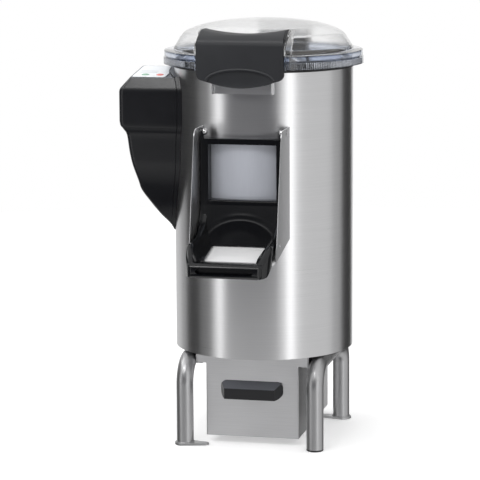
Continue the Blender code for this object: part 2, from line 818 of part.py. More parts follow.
def make_plate():
    top = plate_bottom + plate_thickness
    bore = shaft_radius + key_clearance
    hub_bottom = deck_top + housing_top_boss + running_gap * 2
    outline = [(bore, hub_bottom), (plate_hub_radius, hub_bottom), (plate_hub_radius, plate_bottom),
               (plate_radius - plate_rim_depth, plate_bottom),
               (plate_radius - plate_rim_depth, plate_bottom - plate_rim_depth),
               (plate_radius, plate_bottom - plate_rim_depth), (plate_radius, top - plate_thickness / 4),
               (plate_radius - plate_thickness / 4, top), (bore, top)]
    disc = turned(outline, lid_sides)
    outer = plate_radius - 2 * plate_rim_depth
    for index in range(wave_count):
        rings = [wave_ring(k / (wave_sections - 1), wave_inner + (outer - wave_inner) * k / (wave_sections - 1))
                 for k in range(wave_sections)]
        disc = fused(disc, about_drum(loft(rings), 360 * index / wave_count))
    piece("abrasive_plate", disc, "corundum_lining", drive)
    low = plate_bottom + plate_thickness + touching_gap
    knob = [(0, shaft_top + touching_gap), (shaft_radius + key_clearance, shaft_top + touching_gap),
            (shaft_radius + key_clearance, low), (knob_radius, low),
            (knob_radius + key_clearance * 4, low + knob_height / 2),
            (knob_radius, low + knob_height * 3 / 4),
            (knob_radius / 2, low + knob_height), (0, low + knob_height)]
    piece("plate_knob", turned(knob, small_sides), "bright_steel", drive)


def make_scrapers():
    """Two vanes on a collar under the plate that sweep peel round to the waste hole."""
    low = deck_top + scraper_floor_gap
    top = plate_bottom - touching_gap
    inner = plate_hub_radius + 2 * touching_gap
    outer = plate_radius - plate_rim_depth - running_gap
    collar = inner + scraper_collar
    body = turned([(inner, top - scraper_thickness / 2), (collar, top - scraper_thickness / 2), (collar, top),
                   (inner, top)], small_sides)
    for index in range(scraper_count):
        vane = block((inner + scraper_collar / 2, -scraper_thickness / 2, low),
                     (outer, scraper_thickness / 2, top))
        flange = block((inner + scraper_collar / 2, -scraper_thickness * 2, top - scraper_thickness / 2),
                       (outer, scraper_thickness * 2, top))
        body = fused(body, about_drum(fused(vane, flange), 360 * index / scraper_count))
    piece("plate_scrapers", body, "bright_steel", drive)


# Motor: hung on a plate beside the shaft, its own pulley in the belt's plane
motor_radius_share = 0.315
motor_radius = casing_radius * motor_radius_share
motor_rise = 0.0340
motor_head_room = 0.0360
motor_cap_height = 0.0140
motor_bottom = pulley_bottom + motor_rise
motor_body_height = deck_top - deck_sheet - motor_head_room - 2 * motor_cap_height - motor_bottom
motor_fin_count = 4
motor_fin_depth = 0.0035
motor_shaft_radius = 0.0070
motor_plate_thickness = 0.0040
motor_plate_margin = 0.0080
post_radius = 0.0055
motor_shaft_hole = 0.0210
motor_post_angle_deg = 75


def make_motor():
    fin_pitch = motor_body_height / (2 * motor_fin_count + 1)
    low = motor_bottom + motor_cap_height
    top = low + motor_body_height
    root = motor_radius - motor_fin_depth
    bore = motor_shaft_radius + key_clearance
    outline = [(bore, motor_bottom), (motor_radius - motor_cap_height / 2, motor_bottom),
               (motor_radius, motor_bottom + motor_cap_height / 2), (motor_radius, low)]
    start = low
    for _ in range(motor_fin_count):
        start += fin_pitch
        outline += [(motor_radius, start), (root, start), (root, start + fin_pitch),
                    (motor_radius, start + fin_pitch)]
        start += fin_pitch
    outline += [(motor_radius, top), (motor_radius - motor_cap_height, top + motor_cap_height),
                (0, top + motor_cap_height), (0, top), (bore, top)]
    body = turned(outline, small_sides)
    piece("motor_body", shifted(body, motor_x, motor_y, 0), "motor_paint", machine)


def make_motor_bracket():
    """The plate that carries the motor, on three posts that stand on the bottom plate."""
    low = motor_bottom - touching_gap - motor_plate_thickness
    base = casing_bottom + base_sheet + touching_gap
    reach = motor_radius + motor_plate_margin - post_radius
    away = math.degrees(math.atan2(motor_y, motor_x))
    plate = rod(motor_radius + motor_plate_margin, (motor_x, motor_y, low),
                (motor_x, motor_y, low + motor_plate_thickness), small_sides)
    plate = cut(plate, rod(motor_shaft_hole, (motor_x, motor_y, low - cut_overrun / 4),
                           (motor_x, motor_y, low + cut_overrun), small_sides))
    for spread_deg in (-motor_post_angle_deg, 0, motor_post_angle_deg):
        angle = math.radians(away + spread_deg)
        x = motor_x + reach * math.cos(angle)
        y = motor_y + reach * math.sin(angle)
        plate = fused(plate, rod(post_radius, (x, y, base), (x, y, low + motor_plate_thickness / 2),
                                 tiny_sides))
    edge = casing_radius - casing_wall - base_sheet - 2 * running_gap
    inside = rod(edge, (0, 0, casing_bottom - cut_overrun), (0, 0, deck_top), lid_sides)
    piece("motor_bracket", common(plate, inside), "brushed_stainless", machine)


def make_motor_pulley():
    """The motor's shaft and the small grooved pulley on its lower end, turned as one."""
    top = motor_bottom + motor_body_height
    outline = [(0, pulley_bottom)] + grooved_rim(motor_pulley_radius) + [
        (motor_shaft_radius, pulley_bottom + pulley_height), (motor_shaft_radius, top), (0, top)]
    shape = shifted(turned(outline, small_sides), motor_x, motor_y, 0)
    piece("motor_pulley", shape, "bright_steel", motor_axis)


def belt_loop(extra):
    """Corners of the belt round both pulleys at a given distance outside them."""
    distance = math.hypot(motor_x, motor_y)
    heading = math.atan2(motor_y, motor_x)
    tilt = math.acos((driven_pulley_radius - motor_pulley_radius) / distance)
    points = []
    for k in range(belt_big_steps + 1):
        angle = heading + tilt + (2 * math.pi - 2 * tilt) * k / belt_big_steps
        radius = (driven_pulley_radius + extra) / math.cos(math.pi / pulley_sides)
        points.append((radius * math.cos(angle), radius * math.sin(angle)))
    for k in range(belt_small_steps + 1):
        angle = heading - tilt + 2 * tilt * k / belt_small_steps
        radius = (motor_pulley_radius + extra) / math.cos(math.pi / small_sides)
        points.append((motor_x + radius * math.cos(angle), motor_y + radius * math.sin(angle)))
    return points


def make_belt():
    middle = pulley_bottom + pulley_height / 2
    low = middle - groove_floor_width / 2 + belt_clearance
    high = middle + groove_floor_width / 2 - belt_clearance
    inner = belt_clearance - belt_groove_depth
    belt = slab(belt_loop(inner + belt_height), "Z", low, high)
    inside = slab(belt_loop(inner), "Z", low - cut_overrun / 4, high + cut_overrun / 4)
    piece("drive_belt", cut(belt, inside), "black_rubber", machine)


# Discharge chute: two cheeks and a sloping floor of folded stainless sheet
chute_sheet = 0.0015
cheek_rise = 0.0310
cheek_round = 0.0200
cheek_round_steps = 4
toe_round = 0.0160
toe_round_steps = 4
floor_drop = 0.0300
floor_fall = 0.0305
cheek_toe_rise = 0.0125
cheek_bend_rise = 0.0270
lip_drop = 0.0120
pivot_reach = 0.0070
pivot_drop = 0.0100
pivot_radius = 0.0040
cheek_top = door_opening_top + cheek_rise
floor_rear_height = door_opening_bottom - floor_drop
floor_front_height = floor_rear_height - floor_fall
cheek_toe_height = floor_front_height + cheek_toe_rise
cheek_bend_height = cheek_toe_height + cheek_bend_rise
door_pivot_front = casing_radius + pivot_reach
door_pivot_height = cheek_top - pivot_drop
seat_gap = 0.0006


def drum_front(x, radius):
    """How far in front of the axis a drum of this radius lies at the given X."""
    return math.sqrt(radius * radius - x * x)


def drum_cutter(radius, bottom, top, sides=casing_sides):
    """A solid cylinder whose flats, not its corners, lie at the radius."""
    true_radius = radius / math.cos(math.pi / sides)
    return rod(true_radius, (0, 0, bottom), (0, 0, top), sides)


def chute_floor_height(front):
    rear = drum_front(chute_half_width, casing_radius)
    share = (front - rear) / (cheek_toe_front - rear)
    return floor_rear_height + (floor_front_height + chute_sheet - floor_rear_height) * share


def chute_underside(front):
    rear = drum_front(chute_half_width, casing_radius)
    share = (front - rear) / (cheek_toe_front - rear)
    return floor_rear_height - chute_sheet - (floor_rear_height - floor_front_height) * share


def make_chute():
    rear = drum_front(chute_half_width, casing_radius)
    corner = arc(-cheek_corner_front + cheek_round, cheek_top - cheek_round, cheek_round, 90, 170,
                 cheek_round_steps)
    outline = [(-rear, cheek_top)] + corner
    outline += [(-cheek_bend_front, cheek_bend_height), (-cheek_toe_front, cheek_toe_height),
                (-cheek_toe_front, floor_front_height - chute_sheet),
                (-rear, floor_rear_height - chute_sheet)]
    outer = chute_half_width + chute_sheet
    chute = slab([(-rear + cut_overrun, floor_rear_height), (-rear + cut_overrun,
                                                             floor_rear_height - chute_sheet),
                  (-rear, floor_rear_height - chute_sheet),
                  (-cheek_toe_front, floor_front_height - chute_sheet),
                  (-lip_front + chute_sheet, floor_front_height - lip_drop / 2),
                  (-lip_front + chute_sheet / 2, floor_front_height - lip_drop),
                  (-lip_front, floor_front_height - lip_drop),
                  (-lip_front, floor_front_height - lip_drop / 3),
                  (-lip_front + chute_sheet, floor_front_height),
                  (-cheek_toe_front, floor_front_height + chute_sheet),
                  (-rear, floor_rear_height)], "X", -outer, outer)
    toe = -lip_front - touching_gap
    edge = outer + touching_gap
    plan = [(edge, 0)] + arc(edge - toe_round, toe + toe_round, toe_round, 0, -90, toe_round_steps)
    plan += [(-x, y) for x, y in reversed(plan)]
    chute = common(chute, slab(plan, "Z", floor_front_height - cut_overrun, floor_rear_height + cut_overrun))
    for side in (-1, 1):
        cheek = slab(outline, "X", min(side * chute_half_width, side * outer),
                     max(side * chute_half_width, side * outer))
        hole = rod(pivot_radius + touching_gap, (0, -door_pivot_front, door_pivot_height),
                   (side * (outer + cut_overrun), -door_pivot_front, door_pivot_height), tiny_sides)
        chute = fused(chute, cut(cheek, hole))
    drum = drum_cutter(casing_radius + touching_gap, cheek_toe_height - 2 * cut_overrun,
                       cheek_top + cut_overrun)
    piece("discharge_chute", cut(chute, drum), "brushed_stainless", machine)


# Door pivots: a shoulder bolt through each cheek with a domed nut inside
bolt_head_radius = 0.0065
bolt_head_height = 0.0018
nut_radius = 0.0075
nut_height = 0.0050
nut_dome = 0.0035
ear_gap = 0.0020
ear_outside = chute_half_width - ear_gap
ear_thickness = 0.0045
thread_radius = 0.0030


def pivot_bolt(side):
    head = chute_half_width + chute_sheet + touching_gap
    shoulder = ear_outside - ear_thickness - touching_gap
    tip = shoulder - nut_height
    shaft = rod(pivot_radius, (side * (head + bolt_head_height / 2), 0, 0), (side * shoulder, 0, 0),
                tiny_sides)
    thread = rod(thread_radius, (side * (shoulder + touching_gap), 0, 0), (side * tip, 0, 0), tiny_sides)
    cap = rod(bolt_head_radius, (side * head, 0, 0), (side * (head + bolt_head_height), 0, 0), tiny_sides)
    whole = fused(shaft, thread, cap)
    return shifted(whole, 0, -door_pivot_front, door_pivot_height)


def pivot_nut(side):
    start = ear_outside - ear_thickness - 2 * touching_gap
    bore = thread_radius + touching_gap
    end = start - nut_height
    outline = [(bore, 0), (nut_radius, 0), (nut_radius, nut_height - nut_dome / 2),
               (nut_radius * 2 / 3, nut_height + nut_dome * 2 / 3), (0, nut_height + nut_dome),
               (0, nut_height + touching_gap), (bore, nut_height + touching_gap)]
    lean = turn(turned(outline, tiny_sides), Matrix.Rotation(math.radians(-90 * side), 4, "Y"))
    return shifted(lean, side * (end + nut_height), -door_pivot_front, door_pivot_height)


def make_pivots():
    for side, place in ((-1, "left"), (1, "right")):
        piece(place + "_pivot_bolt", pivot_bolt(side), "bright_steel", machine)
        piece(place + "_pivot_nut", pivot_nut(side), "bright_steel", machine)


# Discharge door: a black moulding with a window frame, side wings, a scooped wall below the
# window and a U handle; it swings out and up about the pivots at its top
door_half_width = ear_outside
door_drop = 0.0140
door_reach = 0.0165
door_top = door_pivot_height - door_drop
door_face = casing_radius + door_reach
wing_thickness = 0.0042
window_margin = 0.0030
window_rise = 0.0540
window_drop = 0.0145
window_half_width = door_opening_half_width + window_margin
window_bottom = door_opening_bottom + window_rise
window_top = door_top - window_drop
ledge_height = 0.0090
ledge_bottom = window_bottom - ledge_height
scoop_reach = 0.0275
scoop_foot_gap = 0.0038
scoop_foot_front = door_face + scoop_reach
scoop_foot_height = chute_floor_height(scoop_foot_front) + scoop_foot_gap
scoop_wall = 0.0050
scoop_arch_inset = 0.0050
scoop_arch_half_width = window_half_width - scoop_arch_inset
scoop_arch_height = 0.0650
scoop_arch_steps = 10
scoop_depth = 0.0045
panel_sheet = 0.0015
panel_margin = 0.0080
floor_clearance = 0.0016
ear_radius = 0.0085
ear_round_steps = 6
bar_drop = 0.0300
bar_height = 0.0345
bar_inset = 0.0120
bar_bottom = floor_front_height - bar_drop
bar_top = bar_bottom + bar_height
bar_half_width = ear_outside - bar_inset
bar_round = 0.0090
bar_end_round = 0.0120
groove_depth = 0.0120
groove_inset = 0.0190
groove_half_width = bar_half_width - groove_inset
groove_lip = 0.0085
# Each arm's cross-sections from its root to the bar: how far forward from the door's face, how
# far in from the door's side, how wide, how high above the bar's underside; past the chute's
# lip also the underside's own rise
arm_front_shares = (0.0142, 0.1151, 0.3430, 0.6068, 0.7208, 0.8575, 0.9601)
arm_insets = (0.0002, 0.0004, 0.0015, 0.0038, 0.0058, 0.0090, 0.0140)
arm_widths = (0.0328, 0.0336, 0.0335, 0.0322, 0.0302, 0.0260, 0.0190)
arm_top_rises = (0.1215, 0.0875, 0.0733, 0.0700, 0.0675, 0.0510, 0.0325)
arm_low_rises = (0.0215, 0.0040, 0.0025)
arm_fronts = [door_face + (bar_front - door_face) * share for share in arm_front_shares]
arm_outer = [ear_outside - inset for inset in arm_insets]
arm_inner = [outer - width for outer, width in zip(arm_outer, arm_widths)]
arm_top = [bar_bottom + rise for rise in arm_top_rises]
arm_crest = 0.0110
arm_round = 0.0040
arm_foot = 0.0040
arm_hollow_share = 0.38


def arm_ring(side, index):
    """One section of a handle arm, high on the outside and hollowed down to its inner foot."""
    front = arm_fronts[index]
    if index < len(arm_fronts) - len(arm_low_rises):
        low = chute_floor_height(min(front, cheek_toe_front)) + floor_clearance
    else:
        low = bar_bottom + arm_low_rises[index - len(arm_fronts)]
    outer = arm_outer[index]
    inner = arm_inner[index]
    top = arm_top[index]
    crest = outer - arm_crest
    hollow_x = inner + (crest - inner) * (1 - arm_hollow_share)
    hollow_z = low + arm_foot + (top - low - arm_foot) * arm_hollow_share
    section = [(inner, low), (outer - arm_round / 2, low), (outer, low + arm_round / 2),
               (outer, top - arm_round)]
    section += [(outer - arm_round, top), (crest, top - arm_round / 4), (hollow_x, hollow_z),
                (inner, low + arm_foot)]
    return [(side * x, -front, z) for x, z in section]


def door_wing(side):
    """The flat side wall, widening downwards in a sweep towards the handle."""
    back = drum_front(door_half_width, casing_radius)
    wing_foot = chute_floor_height(arm_fronts[1]) + floor_clearance
    outline = [(-back, door_top), (-door_pivot_front + ear_radius, door_top)]
    outline += arc(-door_pivot_front, door_pivot_height, ear_radius, 0, 180, ear_round_steps)
    outline += [(-door_face, door_top), (-door_face, ledge_bottom), (-arm_fronts[0], arm_top[0]),
                (-arm_fronts[1], arm_top[1]), (-arm_fronts[1], wing_foot),
                (-back, chute_floor_height(back) + floor_clearance)]
    inner = door_half_width - wing_thickness
    low, high = sorted((side * inner, side * door_half_width))
    ear_low, ear_high = sorted((side * (ear_outside - ear_thickness), side * ear_outside))
    wing = slab(outline, "X", low, high)
    boss = rod(ear_radius, (ear_low, -door_pivot_front, door_pivot_height),
               (ear_high, -door_pivot_front, door_pivot_height), tiny_sides)
    bore = rod(pivot_radius + touching_gap, (side * (inner - cut_overrun), -door_pivot_front,
                                             door_pivot_height),
               (side * (door_half_width + cut_overrun), -door_pivot_front, door_pivot_height), tiny_sides)
    return cut(fused(wing, boss), bore)


def scoop_profile(offset):
    """Side view of the wall that leans out from the window's ledge to the chute floor."""
    return [(-door_face + offset, ledge_bottom), (-scoop_foot_front + offset, scoop_foot_height)]


def make_door_moulding():
    inner = door_half_width - wing_thickness / 2
    back = drum_front(door_half_width, casing_radius)
    frame = block((-inner, -door_face, ledge_bottom), (inner, -back, door_top))
    window = block((-window_half_width, -door_face - cut_overrun, window_bottom),
                   (window_half_width, 0, window_top))
    frame = cut(frame, window)
    front = scoop_profile(0)
    rear = scoop_profile(scoop_wall)
    wall = slab([(-door_face, ledge_bottom + scoop_wall)] + front[1:] + [rear[1], rear[0],
                (rear[0][0], ledge_bottom + scoop_wall)], "X", -inner, inner)
    lean_deg = math.degrees(math.atan2(scoop_foot_front - door_face, ledge_bottom - scoop_foot_height))
    arch_points = [(scoop_arch_half_width, scoop_foot_height - cut_overrun)]
    arch_points += [(scoop_arch_half_width * a, scoop_foot_height + scoop_arch_height * b)
                    for a, b in arc(0, 0, 1, 0, 180, scoop_arch_steps)]
    arch_points += [(-scoop_arch_half_width, scoop_foot_height - cut_overrun)]
    recess = slab(arch_points, "Y", 0, cut_overrun)
    lean = (Matrix.Translation((0, -scoop_foot_front + scoop_depth, scoop_foot_height))
            @ Matrix.Rotation(math.radians(-lean_deg), 4, "X")
            @ Matrix.Translation((0, -cut_overrun, -scoop_foot_height)))
    wall = cut(wall, turn(recess, lean))
    moulding = fused(frame, wall, door_wing(-1), door_wing(1))
    drum = drum_cutter(casing_radius + panel_sheet + seat_gap * 2, scoop_foot_height - 2 * cut_overrun,
                       door_pivot_height + cut_overrun)
    moulding = cut(moulding, drum)
    bar = slab(rounded(-bar_front, bar_bottom, -bar_back, bar_top, bar_round, 3), "X",
               -bar_half_width, bar_half_width)
    ends = rounded(-bar_half_width, bar_bottom - touching_gap, bar_half_width, bar_top + bar_end_round,
                   bar_end_round, 3)
    bar = common(bar, slab(ends, "Y", -bar_front - cut_overrun, -bar_back + cut_overrun))
    groove = block((-groove_half_width, -bar_front - cut_overrun, bar_bottom + groove_lip),
                   (groove_half_width, -bar_front + groove_depth, bar_top - groove_lip))
    arms = [loft([arm_ring(side, index) for index in range(len(arm_outer))]) for side in (-1, 1)]
    moulding = fused(moulding, *arms, cut(bar, groove))
    piece("door_moulding", moulding, "black_abs", door)


def make_door_panel():
    """The stainless closing sheet, rolled to the drum and clipped behind the frame."""
    half = window_half_width + panel_margin
    inside = casing_radius + seat_gap
    shell = turned([(inside, door_opening_bottom - panel_margin),
                    (inside + panel_sheet, door_opening_bottom - panel_margin),
                    (inside + panel_sheet, door_top - touching_gap), (inside, door_top - touching_gap)],
                   casing_sides)
    window = block((-half, -casing_radius - cut_overrun, door_opening_bottom - cut_overrun),
                   (half, -casing_radius + 2 * cut_overrun, door_top + cut_overrun))
    piece("door_panel", common(shell, window), "brushed_stainless", door)


# Door sensor: a magnetic switch screwed up under the chute's floor
sensor_length = 0.0360
sensor_width = 0.0180
sensor_thickness = 0.0110
sensor_reach = 0.0250
sensor_front = casing_radius + sensor_reach
sensor_inset = 0.0310
sensor_x = sensor_inset - chute_half_width


def make_door_sensor():
    ends = (sensor_front - sensor_width / 2, sensor_front + sensor_width / 2)
    rear, front = ends
    rear_top, front_top = [chute_underside(end) - touching_gap for end in ends]
    outline = [(-rear, rear_top), (-front, front_top), (-front, front_top - sensor_thickness),
               (-rear, rear_top - sensor_thickness)]
    sensor = slab(outline, "X", sensor_x - sensor_length / 2, sensor_x + sensor_length / 2)
    piece("door_sensor", sensor, "black_abs", machine)


# Lid: the clear dome with its flange and the two ribs beside the handle
def lid_outline(grow):
    """The lid's outside from the crown to the skirt, grown outwards for clearance cuts."""
    rise = lid_crown - lid_bead_top
    dome = [(lid_foot_radius * a + grow, lid_bead_top + rise * b + grow)
            for a, b in zip(dome_radius_shares, dome_height_shares)]
    return [(0, lid_crown + grow)] + dome + [
        (lid_foot_radius + grow, lid_bead_top + grow),
        (lid_bead_radius - lid_edge_round + grow, lid_bead_top + grow),
        (lid_bead_radius + grow, lid_bead_top - 2 * lid_edge_round + grow)]


def make_lid():
    rise = lid_crown - lid_bead_top
    under = lid_groove_bottom - lid_edge_round
    outer = lid_outline(0) + [
        (lid_bead_radius, lid_groove_top), (lid_groove_radius, lid_groove_top),
        (lid_groove_radius, lid_groove_bottom), (lid_skirt_radius - lid_edge_round, lid_groove_bottom),
        (lid_skirt_radius, lid_groove_bottom - 2 * lid_edge_round), (lid_skirt_radius, lid_skirt_bottom)]
    inner = [(lid_skirt_radius - lid_wall, lid_skirt_bottom), (lid_skirt_radius - lid_wall, under),
             (lid_rib_bore + lid_rib_width, under), (lid_rib_bore + lid_rib_width, lid_skirt_bottom),
             (lid_rib_bore, lid_skirt_bottom), (lid_rib_bore, lid_bead_top - lid_wall)]
    inner += [(lid_foot_radius * a - lid_wall, lid_bead_top + rise * b - lid_wall * 3 / 4)
              for a, b in reversed(list(zip(dome_radius_shares, dome_height_shares)))]
    inner += [(0, lid_crown - lid_wall)]
    shell = turned(outer + inner, lid_sides)
    for side in (-1, 1):
        low, high = sorted((side * rib_inside, side * (rib_inside + lid_wall)))
        rib = slab([(-rib_back, lid_skirt_bottom), (-rib_back, rib_top), (-rib_shoulder, rib_top),
                    (-rib_brow_front, rib_brow_height), (-rib_face, rib_face_height),
                    (-rib_face, lid_skirt_bottom)], "X", low, high)
        inside = lid_bead_radius - lid_wall / 2
        solid_lid = turned(lid_outline(-lid_wall / 2) + [(inside, lid_skirt_bottom - cut_overrun),
                                                         (0, lid_skirt_bottom - cut_overrun)], lid_sides)
        shell = fused(shell, cut(rib, solid_lid))
    piece("lid_dome", shell, "clear_polycarbonate", lid)


# Handle of the lid: a deep black moulding over the front edge with a scooped finger hold
handle_width_share = 0.48
handle_half_width = casing_radius * handle_width_share
handle_shoulder_inset = 0.0030
handle_shoulder_half_width = handle_half_width - handle_shoulder_inset
handle_reach = 0.0140
handle_brow_depth = 0.0225
handle_top_depth = 0.0550
handle_face = lid_skirt_radius + handle_reach
handle_brow_front = handle_face - handle_brow_depth
handle_back = handle_brow_front - handle_top_depth
handle_rise = 0.0525
handle_brow_drop = 0.0190
handle_face_height = 0.0880
handle_bulge = 0.0160
handle_top = lid_bead_top + handle_rise
handle_brow_height = handle_top - handle_brow_drop
handle_corner_height = handle_brow_height - handle_face_height
handle_bottom = handle_corner_height - handle_bulge
handle_top_dip = 0.0100
handle_corner = 0.0150
handle_corner_angle_deg = 80
handle_corner_steps = 3
handle_curve_steps = 8
handle_skin = 0.0110
handle_lid_gap = 0.0004
hold_half_width = 0.0760
hold_drop = 0.0020
hold_centre_height = handle_corner_height - hold_drop
hold_half_height = 0.0270
hold_depth = 0.0075
rib_gap = 0.0008
rib_inside = handle_half_width + rib_gap
rib_face_inset = 0.0040
rib_brow_depth = 0.0195
rib_shoulder_depth = 0.0360
rib_top_depth = 0.0430
rib_face = handle_face - rib_face_inset
rib_brow_front = rib_face - rib_brow_depth
rib_shoulder = rib_brow_front - rib_shoulder_depth
rib_back = rib_shoulder - rib_top_depth
rib_drop = 0.0010
rib_brow_drop = 0.0090
rib_face_drop = 0.0210
rib_top = handle_top - rib_drop
rib_brow_height = rib_top - rib_brow_drop
rib_face_height = rib_brow_height - rib_face_drop


def handle_front_outline():
    """The handle seen from the front: dished top, round lower corners, bulging lower edge."""
    straight = handle_half_width - handle_corner
    shares = [2 * k / handle_curve_steps - 1 for k in range(handle_curve_steps + 1)]
    top = [(handle_shoulder_half_width * share, handle_top - handle_top_dip * (1 - share * share))
           for share in shares]
    right = [(handle_half_width, handle_brow_height - handle_corner)]
    right += arc(straight, handle_corner_height + handle_corner, handle_corner, 0, -handle_corner_angle_deg,
                 handle_corner_steps)
    lower = [(straight * share, handle_corner_height - handle_bulge * (1 - share * share))
             for share in reversed(shares[1:-1])]
    return top + right + lower + [(-x, z) for x, z in reversed(right)]


def make_lid_handle():
    face = slab(handle_front_outline(), "Y", -handle_face - cut_overrun, -handle_back)
    over_flange = lid_bead_top + handle_lid_gap
    side_view = [(-handle_back, handle_top + cut_overrun / 4),
                 (-handle_brow_front, handle_brow_height + handle_skin),
                 (-handle_face + handle_skin / 4, handle_brow_height - handle_skin / 4),
                 (-handle_face, handle_brow_height - handle_skin),
                 (-handle_face, handle_corner_height), (-handle_face + handle_skin / 4,
                                                        handle_bottom - touching_gap),
                 (-handle_face + handle_skin, handle_bottom - touching_gap),
                 (-handle_face + handle_skin, over_flange), (-handle_back, over_flange)]
    body = common(slab(side_view, "X", -handle_half_width - cut_overrun, handle_half_width + cut_overrun),
                  face)
    clear_of_lid = turned(lid_outline(handle_lid_gap) + [(lid_skirt_radius + running_gap, lid_bead_top),
                                                         (lid_skirt_radius + running_gap, handle_bottom),
                                                         (0, handle_bottom)], lid_sides)
    hold = bmesh.new()
    bmesh.ops.create_uvsphere(hold, u_segments=20, v_segments=10, radius=1)
    stretch = (Matrix.Translation((0, -handle_face, hold_centre_height))
               @ Matrix.Diagonal((hold_half_width, hold_depth, hold_half_height, 1)))
    body = cut(body, clear_of_lid, turn(hold, stretch))
    piece("lid_handle", body, "black_abs", lid)


# Hinge of the lid: a folded bracket on the casing, a block on the lid and one long pin
bracket_knee_reach = 0.0190
bracket_knee_drop = 0.0040
bracket_web_drop = 0.0080
bracket_drop = 0.0670
bracket_knee_back = casing_radius + bracket_knee_reach
bracket_knee_height = casing_top - bracket_knee_drop
bracket_web_top = casing_top - bracket_web_drop
bracket_bottom = casing_top - bracket_drop
hinge_block_clearance = 0.0020
hinge_block_back = 0.0090
hinge_block_lift = 0.0027
hinge_block_bottom = lid_skirt_bottom + hinge_block_lift
hinge_block_rise = 0.0040
hinge_knuckle_radius = 0.0090
pin_head_radius = 0.0065
pin_head = 0.0025
hinge_block_lap = 0.0020
hinge_block_front = casing_radius - hinge_block_lap
hinge_round_steps = 8


def make_lid_hinge():
    inner = hinge_ear_outside - hinge_ear_thickness
    wall = casing_radius + touching_gap
    web = block((-hinge_ear_outside, drum_front(hinge_ear_outside, casing_radius), bracket_bottom),
                (hinge_ear_outside, wall + hinge_ear_thickness, bracket_web_top))
    bracket = cut(web, drum_cutter(casing_radius + touching_gap, bracket_bottom - cut_overrun,
                                   bracket_web_top + cut_overrun))
    ear = [(wall, bracket_bottom), (wall, bracket_knee_height), (bracket_knee_back, bracket_knee_height)]
    ear += arc(hinge_back, hinge_height, hinge_ear_radius, 180, 0, hinge_round_steps)
    ear += [(hinge_back + hinge_ear_radius, bracket_knee_height)]
    for side in (-1, 1):
        low, high = sorted((side * inner, side * hinge_ear_outside))
        hole = rod(hinge_pin_radius + touching_gap, (low - cut_overrun, hinge_back, hinge_height),
                   (high + cut_overrun, hinge_back, hinge_height), tiny_sides)
        bracket = fused(bracket, cut(slab(ear, "X", low, high), hole))
    piece("lid_hinge_bracket", bracket, "brushed_stainless", machine)
    end = hinge_ear_outside + touching_gap
    tip = end + pin_head / 2
    pin = rod(hinge_pin_radius, (-tip, hinge_back, hinge_height), (tip, hinge_back, hinge_height), tiny_sides)
    heads = [rod(pin_head_radius, (side * end, hinge_back, hinge_height),
                 (side * (end + pin_head), hinge_back, hinge_height), tiny_sides) for side in (-1, 1)]
    piece("lid_hinge_pin", fused(pin, *heads), "bright_steel", machine)
    half = inner - hinge_block_clearance
    outline = [(hinge_block_front, hinge_block_bottom), (hinge_block_front,
                                                         hinge_height - hinge_knuckle_radius)]
    outline += arc(hinge_back, hinge_height, hinge_knuckle_radius, 120, -60, 6)
    outline += [(hinge_back + hinge_block_back / 2, hinge_block_bottom + hinge_block_rise),
                (hinge_back, hinge_block_bottom)]
    knuckle = slab(outline, "X", -half, half)
    bore = rod(hinge_pin_radius + touching_gap, (-half - cut_overrun, hinge_back, hinge_height),
               (half + cut_overrun, hinge_back, hinge_height), tiny_sides)
    clear_of_lid = turned(lid_outline(handle_lid_gap) + [(lid_skirt_radius + handle_lid_gap, lid_bead_top),
                                                         (lid_skirt_radius + handle_lid_gap, handle_bottom),
                                                         (0, handle_bottom)], lid_sides)
    piece("lid_hinge_block", cut(knuckle, bore, clear_of_lid), "black_abs", lid)


# Catch bracket: a small folded channel on the casing under the lid's handle
catch_half_width = 0.0660
catch_sheet = 0.0020
catch_drop = 0.0090
catch_height = 0.0400
catch_depth = 0.0190
catch_top = casing_top - catch_drop
catch_bottom = catch_top - catch_height
catch_reach = casing_radius + catch_depth
catch_round = 0.0050
switch_half_width = 0.0200
switch_drop = 0.0020
switch_height = 0.0190
switch_inset = 0.0030
switch_top = catch_top - switch_drop
switch_bottom = switch_top - switch_height
switch_face = catch_reach - switch_inset


def make_catch():
    web_face = casing_radius + touching_gap + catch_sheet
    plate = block((-catch_half_width, -web_face, catch_bottom), (catch_half_width, 0, catch_top))
    outline = [(0, catch_bottom), (-catch_reach + catch_round, catch_bottom),
               (-catch_reach, catch_bottom + catch_round),
               (-catch_reach, catch_top - catch_round), (-catch_reach + catch_round, catch_top),
               (0, catch_top)]
    ears = []
    for side in (-1, 1):
        low, high = sorted((side * (catch_half_width - catch_sheet), side * catch_half_width))
        ears.append(slab(outline, "X", low, high))
    drum = drum_cutter(casing_radius + touching_gap, catch_bottom - cut_overrun, catch_top + cut_overrun)
    piece("lid_catch_bracket", cut(fused(plate, *ears), drum), "brushed_stainless", machine)
    switch = slab(rounded(-switch_half_width, switch_bottom, switch_half_width, switch_top, catch_round, 2),
                  "Y", -switch_face, -web_face - touching_gap)
    piece("lid_safety_switch", switch, "black_abs", machine)


# Control box: a deep moulded housing that tapers down to the drum, on a saddle that fits the
# drum's curve; the panel on its sloping top carries the two buttons
saddle_thickness = 0.0080
saddle_lap = 0.0030
box_wall = 0.0030
box_corner = 0.0120
box_root_depth = 0.0500
box_inner_x = casing_radius - box_root_depth
box_tip_half_width = 0.0030
box_brow_drop = 0.0520
box_brow_height = casing_top - box_brow_drop
box_slope_height = 0.0262
panel_left_inset = 0.0245
panel_front_inset = 0.0115
panel_rear_inset = 0.0260
panel_left = box_reach - panel_left_inset
panel_front = box_front - panel_front_inset
panel_front_height = box_brow_height + box_slope_height
panel_tilt_deg = 8.3
